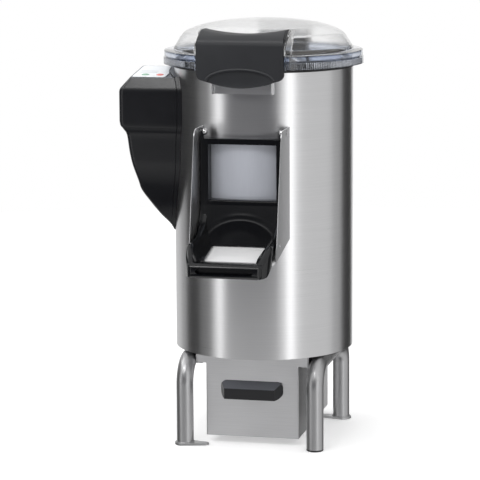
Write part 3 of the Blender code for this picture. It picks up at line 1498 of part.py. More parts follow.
# Each row from the brow down: its drop, then its reach to the left and its width as shares
box_drops = (0.0000, 0.0710, 0.0880, 0.1020, 0.1400, 0.1700, 0.2060, 0.2280, 0.2590, 0.2870, 0.3100, 0.3220)
box_heights = [box_brow_height - drop for drop in box_drops]
box_reach_shares = (1.000, 1.000, 0.975, 0.950, 0.934, 0.914, 0.878, 0.859, 0.794, 0.734, 0.670, 0.647)
box_width_shares = (1.000, 1.000, 0.975, 0.930, 0.890, 0.855, 0.762, 0.670, 0.520, 0.320, 0.130, 0.030)


def box_middle():
    return -box_front + box_depth / 2


def box_ring(left, front, rear, heights, corner):
    """A horizontal ring: two round corners on the left, straight into the drum on the right."""
    front_height, rear_height = heights
    points = ([(-left + corner, front)] if corner == 0 else
              arc(-left + corner, front + corner, corner, 270, 180, 3))
    points += arc(-left + corner, rear - corner, corner, 180, 90, 3)
    points += [(-box_inner_x, rear), (-box_inner_x, front)]
    span = rear - front
    return [(x, y, front_height + (rear_height - front_height) * (y - front) / span) for x, y in points]


def box_body(inset, lap):
    """The housing's solid, drawn in by a wall or let out by a lap."""
    slope = math.tan(math.radians(panel_tilt_deg))
    rear = -box_front + box_depth
    rings = []
    for height, reach_share, width_share in zip(reversed(box_heights), reversed(box_reach_shares),
                                                reversed(box_width_shares)):
        half = box_depth * width_share / 2 - inset + lap
        half = max(half, box_tip_half_width)
        left = box_reach * reach_share - inset
        corner = min(box_corner, half * 3 / 4)
        rings.append(box_ring(left, box_middle() - half, box_middle() + half, (height, height), corner))
    top_front = -panel_front + inset / 2 - lap
    top_rear = rear - panel_rear_inset - inset / 2 + lap
    top_low = panel_front_height - inset + lap
    top_high = top_low + slope * (top_rear - top_front)
    rings.append(box_ring(panel_left - inset / 2, top_front, top_rear, (top_low, top_high), box_corner / 2))
    return loft(rings)


def panel_matrix():
    """Takes the panel's own frame (X right, Y up the slope, Z out of it) to the machine's."""
    return (Matrix.Translation((-panel_left, -panel_front, panel_front_height))
            @ Matrix.Rotation(math.radians(panel_tilt_deg), 4, "X"))


panel_edge = 0.0040
panel_width = 0.0800
panel_end_gap = 0.0430
panel_length = box_depth - panel_end_gap
panel_thickness = 0.0012
panel_round = 0.0060
button_row = 0.0240
start_button_x = 0.0300
stop_button_x = 0.0635
button_radius = 0.0080
button_hole_clearance = 0.0006
button_proud = 0.0030
button_flange = 0.0020
button_stem = 0.0040
button_travel = 0.0020
button_length = 0.0130
block_half = 0.0110
block_length = 0.0240


def in_panel_frame(body):
    return turn(body, panel_matrix())


def button_hole(x, radius):
    return in_panel_frame(rod(radius, (x, button_row, -cut_overrun / 2), (x, button_row, cut_overrun / 2),
                              small_sides))


def make_control_box():
    low = box_heights[-1] - cut_overrun
    high = panel_front_height + 2 * cut_overrun
    saddle_outside = casing_radius + touching_gap + saddle_thickness
    drum = drum_cutter(saddle_outside + touching_gap, low, high)
    holes = [button_hole(x, button_radius + button_hole_clearance) for x in (start_button_x, stop_button_x)]
    housing = cut(box_body(0, 0), box_body(box_wall, 0), drum, *holes)
    piece("control_housing", housing, "black_abs", machine)
    saddle = box_body(0, saddle_lap)
    saddle = common(saddle, drum_cutter(saddle_outside, low, high))
    saddle = cut(saddle, drum_cutter(casing_radius + touching_gap, low, high),
                 radial_hole(box_cable_hole_radius, box_cable_hole_height, box_side_angle_deg))
    piece("control_saddle", saddle, "black_abs", machine)
    panel = slab(rounded(panel_edge, panel_edge, panel_width, panel_length, panel_round, 3), "Z",
                 touching_gap, touching_gap + panel_thickness)
    clear_of_saddle = drum_cutter(saddle_outside + running_gap * 2, low, high)
    holes = [button_hole(x, button_radius + button_hole_clearance) for x in (start_button_x, stop_button_x)]
    piece("control_panel", cut(in_panel_frame(panel), clear_of_saddle, *holes), "panel_foil", machine)


def button(x):
    """A cap with a collar behind the panel that keeps it in."""
    top = touching_gap + panel_thickness + button_proud
    low = top - button_length
    outline = [(0, low), (button_stem, low), (button_stem, low + button_flange * 2),
               (button_radius - button_flange / 2, low + button_flange * 2),
               (button_radius, top - button_flange), (button_radius - button_flange / 2,
                                                      top - button_flange / 4),
               (button_radius / 2, top), (0, top)]
    return in_panel_frame(shifted(turned(outline, small_sides), x, button_row, 0))


def make_buttons():
    piece("start_button", button(start_button_x), "green_plastic", start_axis)
    piece("stop_button", button(stop_button_x), "red_plastic", stop_axis)
    top = touching_gap + panel_thickness + button_proud - button_length - button_travel - touching_gap
    blocks = [in_panel_frame(block((x - block_half, button_row - block_half, top - block_length),
                                   (x + block_half, button_row + block_half, top)))
              for x in (start_button_x, stop_button_x)]
    rail_top = top - block_length / 3
    yoke = in_panel_frame(block((start_button_x, button_row - block_half / 2, rail_top - box_wall),
                                (stop_button_x, button_row + block_half / 2, rail_top)))
    middle = (start_button_x + stop_button_x) / 2
    post = in_panel_frame(block((middle - button_stem, button_row - button_stem, rail_top - box_wall / 2),
                                (middle + button_stem, button_row + button_stem, -box_wall - touching_gap)))
    piece("contact_blocks", fused(*blocks, yoke, post), "black_abs", machine)


# Control board: carried on the saddle inside the housing, with its relay and transformer
board_reach = 0.0420
board_left = casing_radius + board_reach
board_thickness = 0.0016
board_half_length = 0.0450
board_drop = 0.1500
board_height = 0.1050
board_bottom = box_brow_height - board_drop
board_top = board_bottom + board_height
stand_off = 0.0040
relay_depth = 0.0180
relay_height = 0.0280


def make_control_board():
    middle = box_middle()
    board = block((-board_left, middle - board_half_length, board_bottom),
                  (-board_left + board_thickness, middle + board_half_length, board_top))
    first = block((-board_left - relay_depth, middle - board_half_length * 3 / 4,
                   board_bottom + relay_height / 2),
                  (-board_left + board_thickness / 2, middle - relay_depth / 4,
                   board_bottom + relay_height * 3 / 2))
    second = block((-board_left - relay_depth * 3 / 4, middle + relay_depth / 4,
                    board_top - relay_height * 3 / 2),
                   (-board_left + board_thickness / 2, middle + board_half_length * 3 / 4,
                    board_top - relay_height / 2))
    posts = []
    reach = casing_radius + 2 * touching_gap + saddle_thickness
    for y in (middle - board_half_length + 2 * stand_off, middle + board_half_length - 2 * stand_off):
        for z in (board_bottom + 2 * stand_off, board_top - 2 * stand_off):
            posts.append(rod(stand_off, (-board_left + board_thickness / 2, y, z),
                             (-drum_front(y, reach) + stand_off, y, z), tiny_sides))
    whole = fused(board, first, second, *posts)
    drum = drum_cutter(reach, board_bottom - cut_overrun, board_top + cut_overrun)
    piece("control_board", cut(whole, drum), "circuit_board", machine)


# Water inlet: a valve on the rear of the casing and the spray nozzle inside the chamber
valve_body_radius = 0.0140
valve_length = 0.0380
valve_hex_radius = 0.0165
valve_hex = 0.0080
coil_radius = 0.0120
coil_height = 0.0300
nozzle_radius = 0.0110
nozzle_length = 0.0120
valve_bore = 0.0050


def make_water_inlet():
    start = casing_radius + touching_gap
    outline = [(valve_bore, start - casing_wall - lining_thickness * 2),
               (water_tail_radius, start - casing_wall
               - lining_thickness * 2), (water_tail_radius, start), (valve_hex_radius, start),
               (valve_hex_radius, start + valve_hex), (valve_body_radius, start + valve_hex),
               (valve_body_radius, start + valve_length), (valve_bore, start + valve_length)]
    body = turn(turned(outline, small_sides), Matrix.Rotation(math.radians(-90), 4, "X"))
    body = shifted(body, 0, 0, water_hole_height)
    middle = start + (valve_hex + valve_length) / 2
    coil = rod(coil_radius, (0, middle, water_hole_height - valve_body_radius - coil_height),
               (0, middle, water_hole_height - valve_bore - touching_gap * 4), small_sides)
    piece("water_valve", about_drum(fused(body, coil), water_angle_deg), "brass", machine)
    inside = casing_radius - casing_wall - 3 * touching_gap - lining_thickness
    ring = [(water_tail_radius + touching_gap, 0), (nozzle_radius, 0), (nozzle_radius, nozzle_length / 2),
            (nozzle_radius / 2, nozzle_length), (valve_bore / 2, nozzle_length),
            (valve_bore / 2, nozzle_length * 3 / 4), (water_tail_radius + touching_gap, nozzle_length / 2)]
    nozzle = turn(turned(ring, small_sides), Matrix.Rotation(math.radians(90), 4, "X"))
    nozzle = shifted(nozzle, 0, inside - touching_gap, water_hole_height)
    flat = drum_cutter(inside - touching_gap, water_hole_height - cut_overrun,
                       water_hole_height + cut_overrun)
    piece("spray_nozzle", about_drum(common(nozzle, flat), water_angle_deg), "bright_steel", machine)


# Cable gland: where the supply lead enters the motor space
gland_hex_radius = 0.0130
gland_hex = 0.0050
gland_cap = 0.0130
gland_tail = 0.0080
gland_bore = 0.0045


def make_gland():
    start = casing_radius + touching_gap
    outline = [(gland_bore, start - gland_tail), (gland_thread_radius, start - gland_tail),
               (gland_thread_radius, start), (gland_hex_radius, start), (gland_hex_radius, start + gland_hex),
               (gland_hex_radius * 4 / 5, start + gland_hex), (gland_hex_radius * 4 / 5, start + gland_cap),
               (gland_bore * 3 / 2, start + gland_hex + gland_cap),
               (gland_bore, start + gland_hex + gland_cap)]
    body = turn(turned(outline, tiny_sides), Matrix.Rotation(math.radians(-90), 4, "X"))
    body = shifted(body, 0, 0, gland_hole_height)
    piece("cable_gland", about_drum(body, gland_angle_deg), "black_abs", machine)


# Joint axes
lid = axis_point("lid_axis", 0, hinge_back, hinge_height, machine)
door = axis_point("door_axis", 0, -door_pivot_front, door_pivot_height, machine)
drawer = axis_point("drawer_slide", 0, -drawer_front, drawer_bottom, machine)
drive = axis_point("drive_axis", 0, 0, plate_bottom, machine)
motor_axis = axis_point("motor_axis", motor_x, motor_y, pulley_bottom, machine)
start_axis = axis_point("start_axis", *(panel_matrix() @ Vector((start_button_x, button_row, 0))), machine)
stop_axis = axis_point("stop_axis", *(panel_matrix() @ Vector((stop_button_x, button_row, 0))), machine)

# The pieces, from the floor up
make_stand()
make_rails()
make_drawer()
make_drawer_outlet()
make_strainer()
make_drawer_pull()
make_casing()
make_rim_gasket()
make_bottom_plate()
make_chamber_floor()
make_lining()
make_waste_spout()
make_bearing_housing()
make_bearings()
make_drive()
make_plate()
make_scrapers()
make_motor()
make_motor_bracket()
make_motor_pulley()
make_belt()
make_chute()
make_pivots()
make_door_moulding()
make_door_panel()
make_door_sensor()
make_lid()
make_lid_handle()
make_lid_hinge()
make_catch()
make_control_box()
make_buttons()
make_control_board()
make_water_inlet()
make_gland()
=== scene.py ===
import math

import bmesh
import bpy
from mathutils import Matrix, Vector


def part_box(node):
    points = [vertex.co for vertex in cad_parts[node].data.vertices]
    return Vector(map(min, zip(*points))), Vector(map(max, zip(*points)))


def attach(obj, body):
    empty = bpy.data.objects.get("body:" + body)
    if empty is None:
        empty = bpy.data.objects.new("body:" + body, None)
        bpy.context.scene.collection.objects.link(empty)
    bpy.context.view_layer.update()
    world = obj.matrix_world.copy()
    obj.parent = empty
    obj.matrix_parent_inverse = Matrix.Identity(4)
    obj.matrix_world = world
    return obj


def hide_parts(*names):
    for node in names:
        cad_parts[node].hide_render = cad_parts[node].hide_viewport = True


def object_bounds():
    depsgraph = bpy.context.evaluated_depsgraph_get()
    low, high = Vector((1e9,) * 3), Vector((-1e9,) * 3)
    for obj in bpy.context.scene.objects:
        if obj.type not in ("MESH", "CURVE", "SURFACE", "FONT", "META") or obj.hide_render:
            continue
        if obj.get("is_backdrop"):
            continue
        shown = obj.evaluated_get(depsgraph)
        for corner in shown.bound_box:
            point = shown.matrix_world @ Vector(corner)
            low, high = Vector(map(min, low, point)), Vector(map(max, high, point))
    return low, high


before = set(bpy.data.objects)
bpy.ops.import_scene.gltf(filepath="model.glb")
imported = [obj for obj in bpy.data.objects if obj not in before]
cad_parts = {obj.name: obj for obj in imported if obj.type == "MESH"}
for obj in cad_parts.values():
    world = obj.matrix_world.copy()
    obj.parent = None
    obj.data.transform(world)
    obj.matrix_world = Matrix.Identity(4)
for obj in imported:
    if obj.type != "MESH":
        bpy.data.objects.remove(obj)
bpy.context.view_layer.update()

# The machine, a floor-standing potato peeler: every piece is drawn about the drum's axis, in
# metres, with the front towards -Y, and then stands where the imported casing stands.
casing_low, casing_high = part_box("outer_casing")
drum_axis = (casing_low + casing_high) / 2
drum_axis.z = 0


# Leg tubes: two lengths of 38 mm stainless tube, each bent into an upside-down U that runs from
# front to back under the drum. Drawn tube, ground with a fine belt, so the gloss lies in soft
# streaks along its length.
def linear(hex_colour):
    """An sRGB hex colour as the linear values that a shader takes."""
    shares = [int(hex_colour[k:k + 2], 16) / 255 for k in (1, 3, 5)]
    return (*[c / 12.92 if c <= 0.04045 else ((c + 0.055) / 1.055) ** 2.4 for c in shares], 1)


def node(tree, kind, sockets=None, **settings):
    """Adds a node: settings name its properties, sockets its inputs, by a value or by what links in."""
    made = tree.nodes.new("ShaderNode" + kind)
    for name, value in settings.items():
        setattr(made, name, value)
    for name, value in (sockets or {}).items():
        if isinstance(value, bpy.types.Node):
            value = value.outputs[0]
        if isinstance(value, bpy.types.NodeSocket):
            tree.links.new(value, made.inputs[name])
        else:
            made.inputs[name].default_value = value
    return made


def empty_finish(name):
    """A new material with nothing in it, and its node tree."""
    material = bpy.data.materials.new(name)
    material.use_nodes = True
    material.node_tree.nodes.clear()
    return material, material.node_tree


def patterned(name, noises, shades, gloss, bump=None, **sockets):
    """A finish whose tone and gloss follow the first noise, and whose relief follows the last. A
    noise is its waves a metre, along X, Y and Z or the same all ways, and its detail."""
    finish, tree = empty_finish(name)
    place = node(tree, "TexCoord").outputs["Object"]
    patterns = []
    for waves, detail in noises:
        scale = waves if isinstance(waves, tuple) else (waves,) * 3
        stretched = node(tree, "Mapping", {"Vector": place, "Scale": scale})
        patterns.append(node(tree, "TexNoise", {"Vector": stretched, "Scale": 1.0, "Detail": detail}))
    dark, pale = [linear(shade) for shade in shades]
    tone = node(tree, "Mix", {"Factor": patterns[0], "A": dark, "B": pale}, data_type="RGBA")
    if isinstance(gloss, tuple):
        gloss = node(tree, "MapRange", {"Value": patterns[0], "To Min": gloss[0], "To Max": gloss[1]})
    if bump:
        strength, depth = bump
        sockets["Normal"] = node(tree, "Bump", {"Height": patterns[-1], "Strength": strength,
                                                "Distance": depth})
    shader = node(tree, "BsdfPrincipled", {"Base Color": tone.outputs[2], "Roughness": gloss, **sockets})
    node(tree, "OutputMaterial", {"Surface": shader})
    return finish


def arc(centre_a, centre_b, radius, from_deg, to_deg, steps):
    """Points on an arc, as (a, b) pairs."""
    angles = [math.radians(from_deg + (to_deg - from_deg) * k / steps) for k in range(steps + 1)]
    return [(centre_a + radius * math.cos(t), centre_b + radius * math.sin(t)) for t in angles]


def outward(body):
    bmesh.ops.recalc_face_normals(body, faces=body.faces)
    return body


def skinned(rows, ends="open"):
    """A body of faces between closed rows of points, where a row of one point is a tip. Its ends
    are open, capped, or joined, the last row to the first."""
    body = bmesh.new()
    rows = [[body.verts.new(point) for point in row] for row in rows]
    for lower, upper in zip(rows, rows[1:] + (rows[:1] if ends == "joined" else [])):
        for k in range(max(len(lower), len(upper))):
            corners = (lower[(k - 1) % len(lower)], lower[k % len(lower)],
                       upper[k % len(upper)], upper[(k - 1) % len(upper)])
            body.faces.new(tuple(dict.fromkeys(corners)))
    if ends == "capped":
        body.faces.new(rows[0])
        body.faces.new(rows[-1])
    return outward(body)


def bent_tube(path, outer, bore, sides):
    """An open tube whose path lies in a plane of constant X."""
    across = Vector((1, 0, 0))
    skins = []
    for radius in (outer, bore):
        rings = []
        for index, point in enumerate(path):
            ahead = Vector(path[min(index + 1, len(path) - 1)]) - Vector(path[max(index - 1, 0)])
            up = ahead.normalized().cross(across)
            rings.append([Vector(point) + radius * (math.cos(turn) * across + math.sin(turn) * up)
                          for turn in [2 * math.pi * k / sides for k in range(sides)]])
        skins.append(rings)
    return skinned(skins[0] + skins[1][::-1], ends="joined")


def placed(name, data):
    """A new object in the scene."""
    item = bpy.data.objects.new(name, data)
    bpy.context.scene.collection.objects.link(item)
    return item


def softened(item, width, edge_deg, steps):
    """Rounds the edges of a piece where its faces turn by more than edge_deg."""
    soft = item.modifiers.new("softened_edges", "BEVEL")
    soft.width = width
    soft.segments = steps
    soft.limit_method = "ANGLE"
    soft.angle_limit = math.radians(edge_deg)
    soft.harden_normals = True


def fitted(name, body, finish, carrier, stands_for, edge=0.0, edge_deg=30.0, edge_steps=3):
    """Turns a mesh drawn about the drum's axis into a piece with softened edges, on its body."""
    mesh = bpy.data.meshes.new(name)
    body.to_mesh(mesh)
    body.free()
    mesh.shade_smooth()
    mesh.materials.append(finish)
    item = placed(name, mesh)
    item.location = drum_axis
    if edge:
        softened(item, edge, edge_deg, edge_steps)
    else:
        mesh.set_sharp_from_angle(angle=math.radians(edge_deg))
    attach(item, carrier)
    if stands_for:
        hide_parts(*stands_for)


# Belt grinding leaves 0.1 mm scratches along the tube, too fine to see here, so they are drawn
# 2 mm apart
ground_tube = patterned("belt_ground_stainless_tube", [((500, 500, 12), 3)], ("#A6A6A7", "#BFBFC0"),
                        (0.32, 0.48), bump=(0.05, 0.0002), Metallic=1.0)

both_sides = (("left", -1), ("right", 1))
tube_radius = 0.019
tube_bore = 0.0175
tube_sides = 64
leg_spread = 0.148
leg_stance = 0.156
leg_bend = 0.052
leg_run_height = 0.1884
foot_thickness = 0.0050
cap_rim = 0.0035
end_gap = 0.0003
bend_y = leg_stance - leg_bend
bend_z = leg_run_height - leg_bend
leg_ends = ((foot_thickness, cap_rim), (cap_rim, foot_thickness))
for (label, side), (front_end, rear_end) in zip(both_sides, leg_ends):
    path = [(-leg_stance, front_end + end_gap)] + arc(-bend_y, bend_z, leg_bend, 180, 90, 16)
    path += arc(bend_y, bend_z, leg_bend, 90, 0, 16) + [(leg_stance, rear_end + end_gap)]
    tube = bent_tube([(side * leg_spread, y, z) for y, z in path], tube_radius, tube_bore, tube_sides)
    fitted(label + "_leg", tube, ground_tube, "machine", [label + "_leg_tube"],
           edge_deg=50)


# Foot plates: 5 mm laser-cut teardrops welded under the front left and rear right tube ends,
# their points towards the middle. The fillet weld is left as a row of fine ripples.
def slab(outline, across, low, high):
    """A flat outline given thickness from low to high across X, Y or Z."""
    axis = "XYZ".index(across)
    push = Vector((0, 0, 0))
    push[axis] = high - low
    body = bmesh.new()
    face = body.faces.new([body.verts.new((*point[:axis], low, *point[axis:])) for point in outline])
    grown = bmesh.ops.extrude_face_region(body, geom=[face])["geom"]
    far_corners = [item for item in grown if isinstance(item, bmesh.types.BMVert)]
    bmesh.ops.translate(body, verts=far_corners, vec=push)
    return outward(body)


foot_inward = 0.045
foot_heel = 0.0235
foot_tip = 0.0090
weld_radius = 0.0188
weld_size = 0.0020
weld_ripples = 70
weld_ripple_share = 0.12
for label, side in (("front", -1), ("rear", 1)):
    outline = [(side * (leg_spread - a), side * leg_stance + b)
               for a, b in arc(0, 0, foot_heel, 107, 253, 32) + arc(foot_inward, 0, foot_tip, -72, 72, 16)]
    fitted(label + "_foot", slab(outline, "Z", 0, foot_thickness), ground_tube, "machine",
           [label + "_foot_plate"], edge=0.0007)
    rings = []
    for k in range(weld_ripples * 2):
        turn = math.pi * k / weld_ripples
        swell = weld_size * (1 + weld_ripple_share * (k % 2))
        rings.append([(side * leg_spread + r * math.cos(turn), side * leg_stance + r * math.sin(turn), z)
                      for r, z in arc(weld_radius, foot_thickness, swell, 0, 180, 6)])
    fitted(label + "_foot_weld", skinned(zip(*rings)), ground_tube, "machine", [],
           edge_deg=80)


# Leg caps: moulded plugs pushed into the two plain tube ends, with a thin rim that stands on
# the floor. Soft black rubber, matt.
def turned(outline, sides):
    """A body turned about Z from (radius, height) points; it may begin and end on the axis."""
    body = bmesh.new()
    corners = [body.verts.new((radius, 0, height)) for radius, height in outline]
    edges = [body.edges.new(ends) for ends in zip(corners, corners[1:])]
    if outline[0][0] > 0:
        edges.append(body.edges.new((corners[-1], corners[0])))
    bmesh.ops.spin(body, geom=corners + edges, cent=(0, 0, 0), axis=(0, 0, 1), angle=2 * math.pi, steps=sides,
                   use_merge=True)
    bmesh.ops.remove_doubles(body, verts=body.verts, dist=0.000005)
    return outward(body)


def moved(body, x, y, z):
    bmesh.ops.translate(body, verts=body.verts, vec=(x, y, z))
    return body


# A moulded rubber skin is dull with a 0.5 mm orange-peel, drawn 1.5 mm wide so that it shows
soft_rubber = patterned("moulded_black_rubber", [(650, 4)], ("#131314", "#232324"), (0.58, 0.78),
                        bump=(0.15, 0.0003), IOR=1.5)

cap_depth = 0.018
cap_wall = 0.003
cap_neck = 0.0172
cap_corner = 0.0012
cap_inside = cap_neck - cap_wall
for label, side in (("front", 1), ("rear", -1)):
    outline = [(0, 0), (tube_radius - cap_corner, 0), (tube_radius, cap_corner), (tube_radius, cap_rim),
               (cap_neck, cap_rim), (cap_neck, cap_depth), (cap_inside, cap_depth), (cap_inside, cap_rim),
               (0, cap_rim)]
    plug = moved(turned(outline, 48), side * leg_spread, -side * leg_stance, 0)
    fitted(label + "_plug", plug, soft_rubber, "machine", [label + "_leg_cap"], edge=0.0004)


# Drawer rails: two C-shaped runners folded from 1.5 mm sheet, spot-welded under the drum's base.
# The bends are rounded and the sheet's cut edges catch the light.
def boolean(body, tool, operation):
    """The body after a Boolean with the tool; both working shapes are used up."""
    shapes = []
    for work in (body, tool):
        mesh = bpy.data.meshes.new("work")
        work.to_mesh(mesh)
        work.free()
        shapes.append(placed("work", mesh))
    change = shapes[0].modifiers.new("change", "BOOLEAN")
    change.operation = operation
    change.object = shapes[1]
    result = bmesh.new()
    result.from_object(shapes[0], bpy.context.evaluated_depsgraph_get())
    for shape in shapes:
        mesh = shape.data
        bpy.data.objects.remove(shape)
        bpy.data.meshes.remove(mesh)
    bmesh.ops.remove_doubles(result, verts=result.verts, dist=0.00001)
    bmesh.ops.dissolve_degenerate(result, edges=result.edges, dist=0.00001)
    return result


def cut(body, *tools):
    for tool in tools:
        body = boolean(body, tool, "DIFFERENCE")
    return body


def fused(body, *tools):
    for tool in tools:
        body = boolean(body, tool, "UNION")
    return body


def block(low, high):
    """A straight box between two corners."""
    body = bmesh.new()
    size = [b - a for a, b in zip(low, high)]
    centre = [(a + b) / 2 for a, b in zip(low, high)]
    bmesh.ops.create_cube(body, size=1, matrix=Matrix.Translation(centre) @ Matrix.Diagonal((*size, 1)))
    return body


def rod(radius, start, end, sides):
    """A round bar from one point to another."""
    along = Vector(end) - Vector(start)
    turn = along.to_track_quat("Z", "Y").to_matrix().to_4x4()
    middle = Matrix.Translation((Vector(start) + Vector(end)) / 2)
    body = bmesh.new()
    bmesh.ops.create_cone(body, cap_ends=True, segments=sides, radius1=radius, radius2=radius,
                          depth=along.length, matrix=middle @ turn)
    return body


folded_sheet, tree = empty_finish("satin_folded_stainless_sheet")
place = node(tree, "TexCoord").outputs["Object"]
# Satin sheet has a fine level grain from its last rolling pass; the 0.1 mm lines are drawn 2 mm
# apart, and its gloss also drifts in slow clouds
stretched = node(tree, "Mapping", {"Vector": place, "Scale": (9, 9, 520)})
grain = node(tree, "TexNoise", {"Vector": stretched, "Scale": 1.0, "Detail": 4.0})
cloud = node(tree, "TexNoise", {"Vector": place, "Scale": 14.0, "Detail": 2.0})
mixed = node(tree, "Math", {0: grain, 1: cloud, 2: 0.2}, operation="MULTIPLY_ADD")
gloss = node(tree, "MapRange", {"Value": mixed, "From Max": 0.9, "To Min": 0.30, "To Max": 0.46})
tone = node(tree, "Mix", {"Factor": grain, "A": linear("#D6D6D7"), "B": linear("#E6E6E7")}, data_type="RGBA")
relief = node(tree, "Bump", {"Height": grain, "Strength": 0.04, "Distance": 0.0002})
shader = node(tree, "BsdfPrincipled", {"Base Color": tone.outputs[2], "Roughness": gloss, "Metallic": 1.0,
                                       "Normal": relief})
node(tree, "OutputMaterial", {"Surface": shader})

rail_outside = 0.1285
rail_sheet = 0.0015
rail_shelf = 0.1800
rail_top = 0.2074
rail_tip = rail_outside - 0.0150
rail_inside = rail_outside - rail_sheet
drawer_front = 0.130
rail_back = 0.138
for label, side in both_sides:
    outline = [(rail_outside, rail_shelf), (rail_outside, rail_top), (rail_tip, rail_top),
               (rail_tip, rail_top - rail_sheet), (rail_inside, rail_top - rail_sheet),
               (rail_inside, rail_shelf + rail_sheet), (rail_tip, rail_shelf + rail_sheet),
               (rail_tip, rail_shelf)]
    rail = slab([(side * a, b) for a, b in outline], "Y", -drawer_front, rail_back)
    fitted(label + "_rail", rail, folded_sheet, "machine", [label + "_drawer_rail"],
           edge=0.0005)

# Filter drawer: a box folded from 1.2 mm stainless sheet with side flanges that slide in the
# rails. Its front stands higher, with ears in front of the rails and a small finger notch.
drawer_half_width = 0.1055
drawer_back = 0.212
drawer_bottom = 0.0166
drawer_top = 0.1830
drawer_lip_top = 0.2050
drawer_wall = 0.0012
drawer_flange = 0.0150
drawer_ear = 0.0207
drawer_bend = 0.0030
notch_radius = 0.0045
outlet_height = 0.052
outlet_bore = 0.0200
tray_overrun = 0.01


def rounded(low_a, low_b, high_a, high_b, radius, steps=8):
    """A rectangle with round corners, as (a, b) pairs."""
    return (arc(high_a - radius, high_b - radius, radius, 0, 90, steps)
            + arc(low_a + radius, high_b - radius, radius, 90, 180, steps)
            + arc(low_a + radius, low_b + radius, radius, 180, 270, steps)
            + arc(high_a - radius, low_b + radius, radius, 270, 360, steps))


outside = slab(rounded(-drawer_half_width, -drawer_front, drawer_half_width, drawer_back, drawer_bend, 6),
               "Z", drawer_bottom, drawer_top)
lip = block((-drawer_half_width - drawer_ear, -drawer_front, drawer_top - drawer_wall),
            (drawer_half_width + drawer_ear, -drawer_front + drawer_wall, drawer_lip_top))
rim = block((-drawer_half_width - drawer_flange, -drawer_front, drawer_top - drawer_wall),
            (drawer_half_width + drawer_flange, drawer_back, drawer_top))
clear_width = drawer_half_width - drawer_wall
inside = slab(rounded(-clear_width, -drawer_front + drawer_wall, clear_width, drawer_back - drawer_wall,
                      drawer_bend - drawer_wall, 6),
              "Z", drawer_bottom + drawer_wall, drawer_top + tray_overrun)
notch = rod(notch_radius, (0, -drawer_front - tray_overrun, drawer_lip_top),
            (0, -drawer_front + tray_overrun, drawer_lip_top), 32)
spigot_hole = rod(outlet_bore, (0, drawer_back - 2 * tray_overrun, outlet_height),
                  (0, drawer_back + 2 * tray_overrun, outlet_height), 48)
tray = fused(cut(fused(outside, rim), inside, spigot_hole), cut(lip, notch))
fitted("drawer_tray", tray, folded_sheet, "drawer", ["drawer_box"], edge=0.0005)

# Drawer outlet and strainer: a turned spigot for the waste hose behind, and the slotted tray
# that catches the peel. Bright-drawn steel, whose turning marks, 0.1 mm apart, are drawn as broad
# faint rings of gloss, and plain satin sheet.
bright_steel = patterned("bright_turned_steel", [(380, 3)], ("#CBCBCC", "#DEDEDF"), (0.12, 0.26),
                         Metallic=1.0)


def turned_along(outline, sides, axis, from_deg):
    """A turned body laid over about X or Y."""
    body = turned(outline, sides)
    bmesh.ops.transform(body, matrix=Matrix.Rotation(math.radians(from_deg), 4, axis), verts=body.verts)
    return body


spigot_bore = 0.0179
spigot_radius = 0.0197
spigot_flange = 0.0300
spigot_seat = 0.0025
spigot_length = 0.0300
barb = 0.0012
barb_reach = 0.0246
outline = [(spigot_bore, -spigot_seat), (spigot_radius, -spigot_seat), (spigot_radius, end_gap),
           (spigot_flange, end_gap), (spigot_flange, spigot_seat), (spigot_radius, spigot_seat),
           (spigot_radius, barb_reach - barb), (spigot_radius + barb, barb_reach),
           (spigot_radius, barb_reach + barb), (spigot_radius, spigot_length), (spigot_bore, spigot_length)]
fitted("drawer_hose_spigot", moved(turned_along(outline, 48, "X", -90), 0, drawer_back, outlet_height),
       bright_steel, "drawer", ["drawer_outlet"], edge=0.0003)


def dressed(name, finish, edge=0.0006):
    """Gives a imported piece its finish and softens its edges; its own mesh stays as it is."""
    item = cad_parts[name]
    for k in range(max(len(item.material_slots), 1)):
        if k < len(item.material_slots):
            item.material_slots[k].material = finish
        else:
            item.data.materials.append(finish)
    joined = item.modifiers.new("joined_corners", "WELD")
    joined.merge_threshold = 0.00001
    softened(item, edge, 30, 2)


dressed("drawer_strainer", folded_sheet, edge=0.0003)

# Drawer pull: a moulded cup handle screwed on from inside, with a sloping top, chamfered ends
# and a finger pocket underneath. Black ABS with a fine satin texture and soft 4 mm edges.
satin_abs, tree = empty_finish("textured_black_abs")
place = node(tree, "TexCoord").outputs["Object"]
# The mould's spark-eroded texture is about 0.3 mm wide, drawn 1 mm wide so that it breaks the gloss
pitted = node(tree, "TexNoise", {"Vector": place, "Scale": 1000.0, "Detail": 3.0})
worn = node(tree, "TexNoise", {"Vector": place, "Scale": 26.0, "Detail": 3.0})
gloss = node(tree, "MapRange", {"Value": worn, "To Min": 0.27, "To Max": 0.36})
tone = node(tree, "Mix", {"Factor": worn, "A": linear("#090A0E"), "B": linear("#0E0F14")}, data_type="RGBA")
# Faces that look up, such as the top of the pull, are drawn lighter grey: a painted sheen that stands for the
# light falling on them
facing = node(tree, "NewGeometry")
upward = node(tree, "SeparateXYZ", {"Vector": facing.outputs["True Normal"]})
painted_sheen_share = node(tree, "MapRange", {"Value": upward.outputs[2], "From Min": 0.70, "From Max": 0.92, "To Max": 0.8})
tone_with_painted_sheen = node(tree, "Mix", {"Factor": painted_sheen_share, "A": tone.outputs[2], "B": linear("#66686E")}, data_type="RGBA")
relief = node(tree, "Bump", {"Height": pitted, "Strength": 0.10, "Distance": 0.0002})
shader = node(tree, "BsdfPrincipled", {"Base Color": tone_with_painted_sheen.outputs[2], "Roughness": gloss, "IOR": 1.48,
                                       "Normal": relief})
node(tree, "OutputMaterial", {"Surface": shader})

